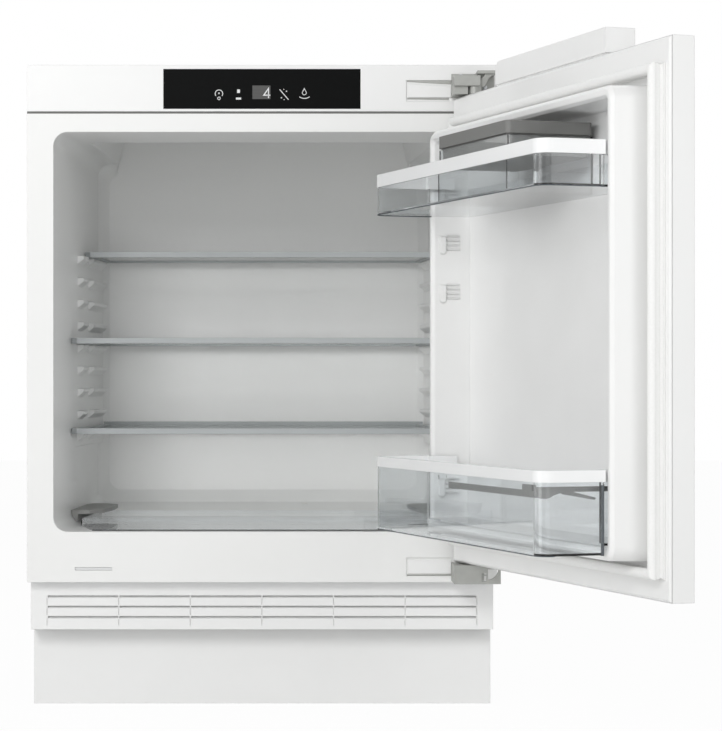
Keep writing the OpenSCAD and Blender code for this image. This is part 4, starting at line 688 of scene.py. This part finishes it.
screw_heads("hinge_screw_heads", "cabinet",
            [(x * MM, HINGE_FACE * MM, z * MM)
             for x, z in ((252, 176), (274, 176), (252, 802.6), (282, 789))],
            (0.0, -1.0, 0.0), radius=0.0032, height=0.0018, recess=0.0008)
screw_heads("bracket_screw_heads", "door",
            [swung(DOOR_SIDE - inward, DOOR_MIDDLE, BRACKET_TOP) for inward in (140, 257, 375)],
            (0.0, 0.0, 1.0), radius=0.0048, height=0.0016, recess=0.0014)
screw_heads("rear_screw_heads", "cabinet",
            [(x, REAR_FACE, z * MM)
             for x in (-REAR_EDGE, REAR_EDGE) for z in range(225, 806, 116)],
            (0.0, 1.0, 0.0), radius=0.0040, height=0.0020, recess=0.0010)

# The coil in millimetres: its lowest layer's middle, the step to the next and half a layer
LOWEST_LAYER, LAYER_STEP, HALF_LAYER = 47, 36, 3.2
piece("condenser_wires",
      grown("condenser_wires", wire_tree(), {"Finish": lacquer},
            [(COIL_X, COIL_Y, (LOWEST_LAYER + LAYER_STEP * layer + side) * MM)
             for layer in range(3) for side in (-HALF_LAYER, HALF_LAYER)]),
      lacquer, "cabinet")

guard = grown("fan_guard", guard_tree(), {"Finish": steel_pins})
guard.transform(Matrix.Translation(SHROUD_FACE) @ Matrix.Rotation(math.radians(90), 4, "Y"))
piece("fan_guard", guard, steel_pins, "cabinet")

low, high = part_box("vent_grille")
grille = piece("louvred_grille",
               grown("louvred_grille", grille_tree(),
                     {"Length": high[0] - low[0], "Height": high[2] - low[2],
                      "Depth": high[1] - low[1], "Finish": abs_white}, [(0.0, low[1], low[2])]),
               abs_white, "cabinet")
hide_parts("vent_grille")


def plain_mesh(name, corners, faces):
    mesh = bpy.data.meshes.new(name)
    mesh.from_pydata(corners, [], faces)
    mesh.update()
    return mesh


def join_on(solid, more):
    """Adds the corners and faces of one solid to those of another."""
    corners, faces = solid
    faces += [tuple(len(corners) + k for k in face) for face in more[1]]
    corners += more[0]


def slabs(name, outlines, y0, y1, material):
    """Flat plates from outlines in X and Z, in millimetres, between two depths, as a piece."""
    corners, faces = [], []
    for outline in outlines:
        first, count = len(corners), len(outline)
        corners += [(x * MM, y * MM, z * MM) for y in (y0, y1) for x, z in outline]
        faces.append(tuple(first + i for i in range(count)))
        faces.append(tuple(first + count + i for i in reversed(range(count))))
        faces += [(first + i, first + count + i,
                   first + count + (i + 1) % count, first + (i + 1) % count)
                  for i in range(count)]
    return piece(name, plain_mesh(name, corners, faces), material, "cabinet")


# Hinge plates in the hinges' own grey that show in the slots beside the covers, cut to the
# wedges of shade there, so partly painted shade; and a grey strip of painted shade in the
# joint under the fascia
slabs("hinge_slot_plates_and_shade", [
    [(184, 796.6), (239.6, 793.5), (239.6, 798.3), (184, 798.3)],
    [(184, 774.6), (237, 773.8), (237, 776.4), (184, 776.2)],
    [(184, 170.1), (239.6, 170.1), (239.6, 172.0), (184, 171.6)]],
    0.5, 1.45, hinge_zinc)
# A grey strip of painted shade in the gap between the fascia and the frame
slabs("fascia_joint_shade", [[(-297.8, 756.2), (297.8, 756.2), (297.8, 758.95), (-297.8, 758.95)]],
      -0.15, 1.9, joint_shade_grey)


# ---------------------------------------------------------------- pieces drawn on the closed door
def closed_points(node):
    """The corners of a node on the door as they lie with the door closed, in metres."""
    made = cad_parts[node]
    return [PIVOT + UNSWING @ (made.matrix_world @ v.co - PIVOT) for v in made.data.vertices]


def limits(points):
    return [(min(p[i] for p in points), max(p[i] for p in points)) for i in range(3)]


def door_mesh(name, corners, faces):
    """A mesh from points that are given for the closed door, with its faces turned outward."""
    mesh = plain_mesh(name, [PIVOT + SWING @ (Vector(c) - PIVOT) for c in corners], faces)
    shape = bmesh.new()
    shape.from_mesh(mesh)
    bmesh.ops.recalc_face_normals(shape, faces=shape.faces)
    shape.to_mesh(mesh)
    shape.free()
    return mesh


def lofted(rings):
    """Corners and faces of a solid through rings of as many points, closed at both ends."""
    count = len(rings[0])
    corners = [p for ring in rings for p in ring]
    faces = [tuple(range(count)), tuple(range((len(rings) - 1) * count, len(rings) * count))]
    for r in range(len(rings) - 1):
        a, b = r * count, (r + 1) * count
        faces += [(a + i, a + (i + 1) % count, b + (i + 1) % count, b + i) for i in range(count)]
    return corners, faces


def circle(cx, cy, z, radius, steps=24):
    return [(cx + radius * math.cos(math.tau * k / steps),
             cy + radius * math.sin(math.tau * k / steps), z) for k in range(steps)]


def rounded(x0, x1, y0, y1, z, radius, steps=4):
    """A rectangle with round corners at one height."""
    points = []
    for cx, cy, start in ((x1, y1, 0), (x0, y1, 90), (x0, y0, 180), (x1, y0, 270)):
        inward_x = -radius if cx == x1 else radius
        inward_y = -radius if cy == y1 else radius
        for i in range(steps + 1):
            turn = math.radians(start + 90 * i / steps)
            points.append((cx + inward_x + radius * math.cos(turn),
                           cy + inward_y + radius * math.sin(turn), z))
    return points


def tray_form(node, depth, eggs_long, eggs_wide):
    """A shallow tray with a rim on top and round nests for eggs, inside the box of a node."""
    rim, lip, wall, draft, base, corner = 0.0021, 0.001, 0.0016, 0.001, 0.0018, 0.005
    inner = rim + wall + draft
    # Radius of a nest's wall and its height over the tray's floor, up outside and down inside
    nest = ((0.0185, 0.001), (0.0175, 0.008), (0.0162, 0.008), (0.0135, 0.002))
    (x0, x1), (y0, y1), (_, top) = limits(closed_points(node))
    floor_z = top - depth

    def level(inset, z):
        return rounded(x0 + inset, x1 - inset, y0 + inset, y1 - inset, z, corner)

    form = lofted([level(rim + draft, floor_z), level(rim, top - lip), level(0.0, top - lip),
                   level(0.0, top), level(rim + wall, top), level(inner, floor_z + base)])
    step_x = (x1 - x0 - 2 * inner) / eggs_long
    step_y = (y1 - y0 - 2 * inner) / eggs_wide
    for i in range(eggs_long * eggs_wide):
        cx = x0 + inner + (i % eggs_long + 0.5) * step_x
        cy = y0 + inner + (i // eggs_long + 0.5) * step_y
        join_on(form, lofted([circle(cx, cy, floor_z + z, radius) for radius, z in nest]))
    return door_mesh("closed_egg_tray", *form)


egg_nests = piece("closed_egg_tray", tray_form("egg_tray", 0.0235, 4, 2), abs_grey,
                  "storage_box")
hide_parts("egg_tray")


def bar(p, q, half):
    """A square bar from one point to another, a little longer at both ends."""
    along = (q - p).normalized()
    up = Vector((1, 0, 0)) if abs(along.z) > 0.9 else Vector((0, 0, 1))
    side = along.cross(up).normalized() * half
    up = side.cross(along).normalized() * half
    return lofted([[end + side + up, end - side + up, end - side - up, end + side - up]
                   for end in (p - along * half * 0.5, q + along * half * 0.5)])


def painted_shade_lines(node, thick):
    """Dark bars along the lower edge of a clear rack: painted shade for the dark lines that its
    moulded edge shows by refraction and reflection. The edge at the door has none."""
    near, at_door, upright, merge = 0.0002, 0.004, 0.9, 0.00001
    corner_inset, corner_half, below_rim = 0.0015, 0.0014, 0.004
    points = closed_points(node)
    low, top = limits(points)[2]
    (x0, _), (y0, _), _ = limits([p for p in points if p.z < low + near])
    shape = bmesh.new()
    shape.from_mesh(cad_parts[node].data)
    for vert, point in zip(shape.verts, points):
        vert.co = point
    bmesh.ops.remove_doubles(shape, verts=shape.verts, dist=merge)
    shape.normal_update()
    bars = ([], [])
    for edge in shape.edges:
        p, q = (v.co.copy() for v in edge.verts)
        if max(p.z, q.z) > low + near or min(p.y, q.y) < y0 + at_door:
            continue
        if sorted(abs(f.normal.z) > upright for f in edge.link_faces) == [False, True]:
            join_on(bars, bar(p, q, thick / 2))
    shape.free()
    # Painted shade too: a dark bar at the free end's upright corner at the door, seen through its
    # whole depth
    foot = Vector((x0 + corner_inset, y0 + corner_inset, low))
    join_on(bars, bar(foot, Vector((foot.x, foot.y, top - below_rim)), corner_half))
    return door_mesh(node + "_painted_shade_lines", *bars)


# Dark bars of painted shade along each clear rack's lower edges
for rack in ("upper_rack", "lower_rack"):
    piece(rack + "_painted_shade_lines", painted_shade_lines(rack, 0.0011), edge_shade_slate, rack)


# ---------------------------------------------------------------- signs on the control glass
INK_DEPTH = 0.12  # in millimetres, as are all the signs' sizes
# The smallest cosine by which a stroke is widened at a bend
BEND_LIMIT = 0.4


def ribbon(points, width, closed=False):
    """A stroke of even width through points in X and Z, as corners and faces of a thin solid."""
    count = len(points)
    corners, faces = [], []
    for i, (x, z) in enumerate(points):
        before = points[i - 1] if closed or i else points[0]
        after = points[(i + 1) % count] if closed or i < count - 1 else points[-1]
        a = Vector((x - before[0], z - before[1]))
        b = Vector((after[0] - x, after[1] - z))
        a = a.normalized() if a.length else b.normalized()
        b = b.normalized() if b.length else a
        side = Vector((-(a.y + b.y), a.x + b.x)).normalized()
        side *= width / 2 / max(BEND_LIMIT, side.dot(Vector((-b.y, b.x))))
        for depth in (-INK_DEPTH, 0.0):
            corners += [(x + side.x, depth, z + side.y), (x - side.x, depth, z - side.y)]
    for i in range(count if closed else count - 1):
        p, q = 4 * i, 4 * ((i + 1) % count)
        faces += [(p, q, q + 1, p + 1), (p + 3, q + 3, q + 2, p + 2),
                  (p + 2, q + 2, q, p), (p + 1, q + 1, q + 3, p + 3)]
    if not closed:
        last = 4 * (count - 1)
        faces += [(0, 1, 3, 2), (last + 1, last, last + 2, last + 3)]
    return corners, faces


def arc(x, z, radius, start, end, steps=14):
    """Points along an arc, in degrees from the right, counter-clockwise."""
    turns = [math.radians(start + (end - start) * i / steps) for i in range(steps + 1)]
    return [(x + radius * math.cos(turn), z + radius * math.sin(turn)) for turn in turns]


def signs(name, strokes):
    """Strokes on the control glass, in millimetres, joined into one printed piece."""
    form = ([], [])
    for points, width, closed in strokes:
        join_on(form, ribbon(points, width, closed))
    corners = [(x * MM, y * MM, z * MM) for x, y, z in form[0]]
    return piece(name, plain_mesh(name, corners, form[1]), ink, "cabinet")


signs("touch_signs", [
    # Open ring over a small ring: on and off
    (arc(-54.5, 781.5, 4.8, -35, 215), 0.9, False),
    (arc(-54.5, 775.6, 1.7, 0, 360, 12)[:-1], 0.8, True),
    (arc(-54.5, 782.0, 0.7, 0, 360, 8)[:-1], 0.7, True),
    # Lamp over its socket
    ([(-29.7, 782.4), (-29.7, 786.8)], 3.6, False),
    ([(-33.0, 775.3), (-26.4, 775.3)], 2.6, False),
    # Cooling level
    ([(22.4, 786.9), (33.6, 773.9)], 1.0, False),
    ([(24.0, 776.3), (25.4, 776.3)], 1.4, False),
    ([(30.4, 784.6), (31.8, 784.6)], 1.4, False),
    ([(27.2, 787.0), (28.2, 787.0)], 1.0, False),
    ([(27.6, 773.9), (28.6, 773.9)], 1.0, False),
    # Drop over an open hand: the bottom line is a shallow curve
    ([(53.7, 788.0)] + arc(53.7, 782.6, 2.6, 40, -220, 12), 0.8, True),
    (arc(53.9, 786.5, 11.0, 234, 306, 10), 1.0, False),
])
digit = signs("display_digit", [
    ([(8.3, 775.9), (8.3, 788.2), (2.3, 779.6), (10.6, 779.6)], 1.5, False),
])
# The window stands 0.1 mm proud of the glass
digit.data.transform(Matrix.Translation((0, -0.1 * MM, 0)))
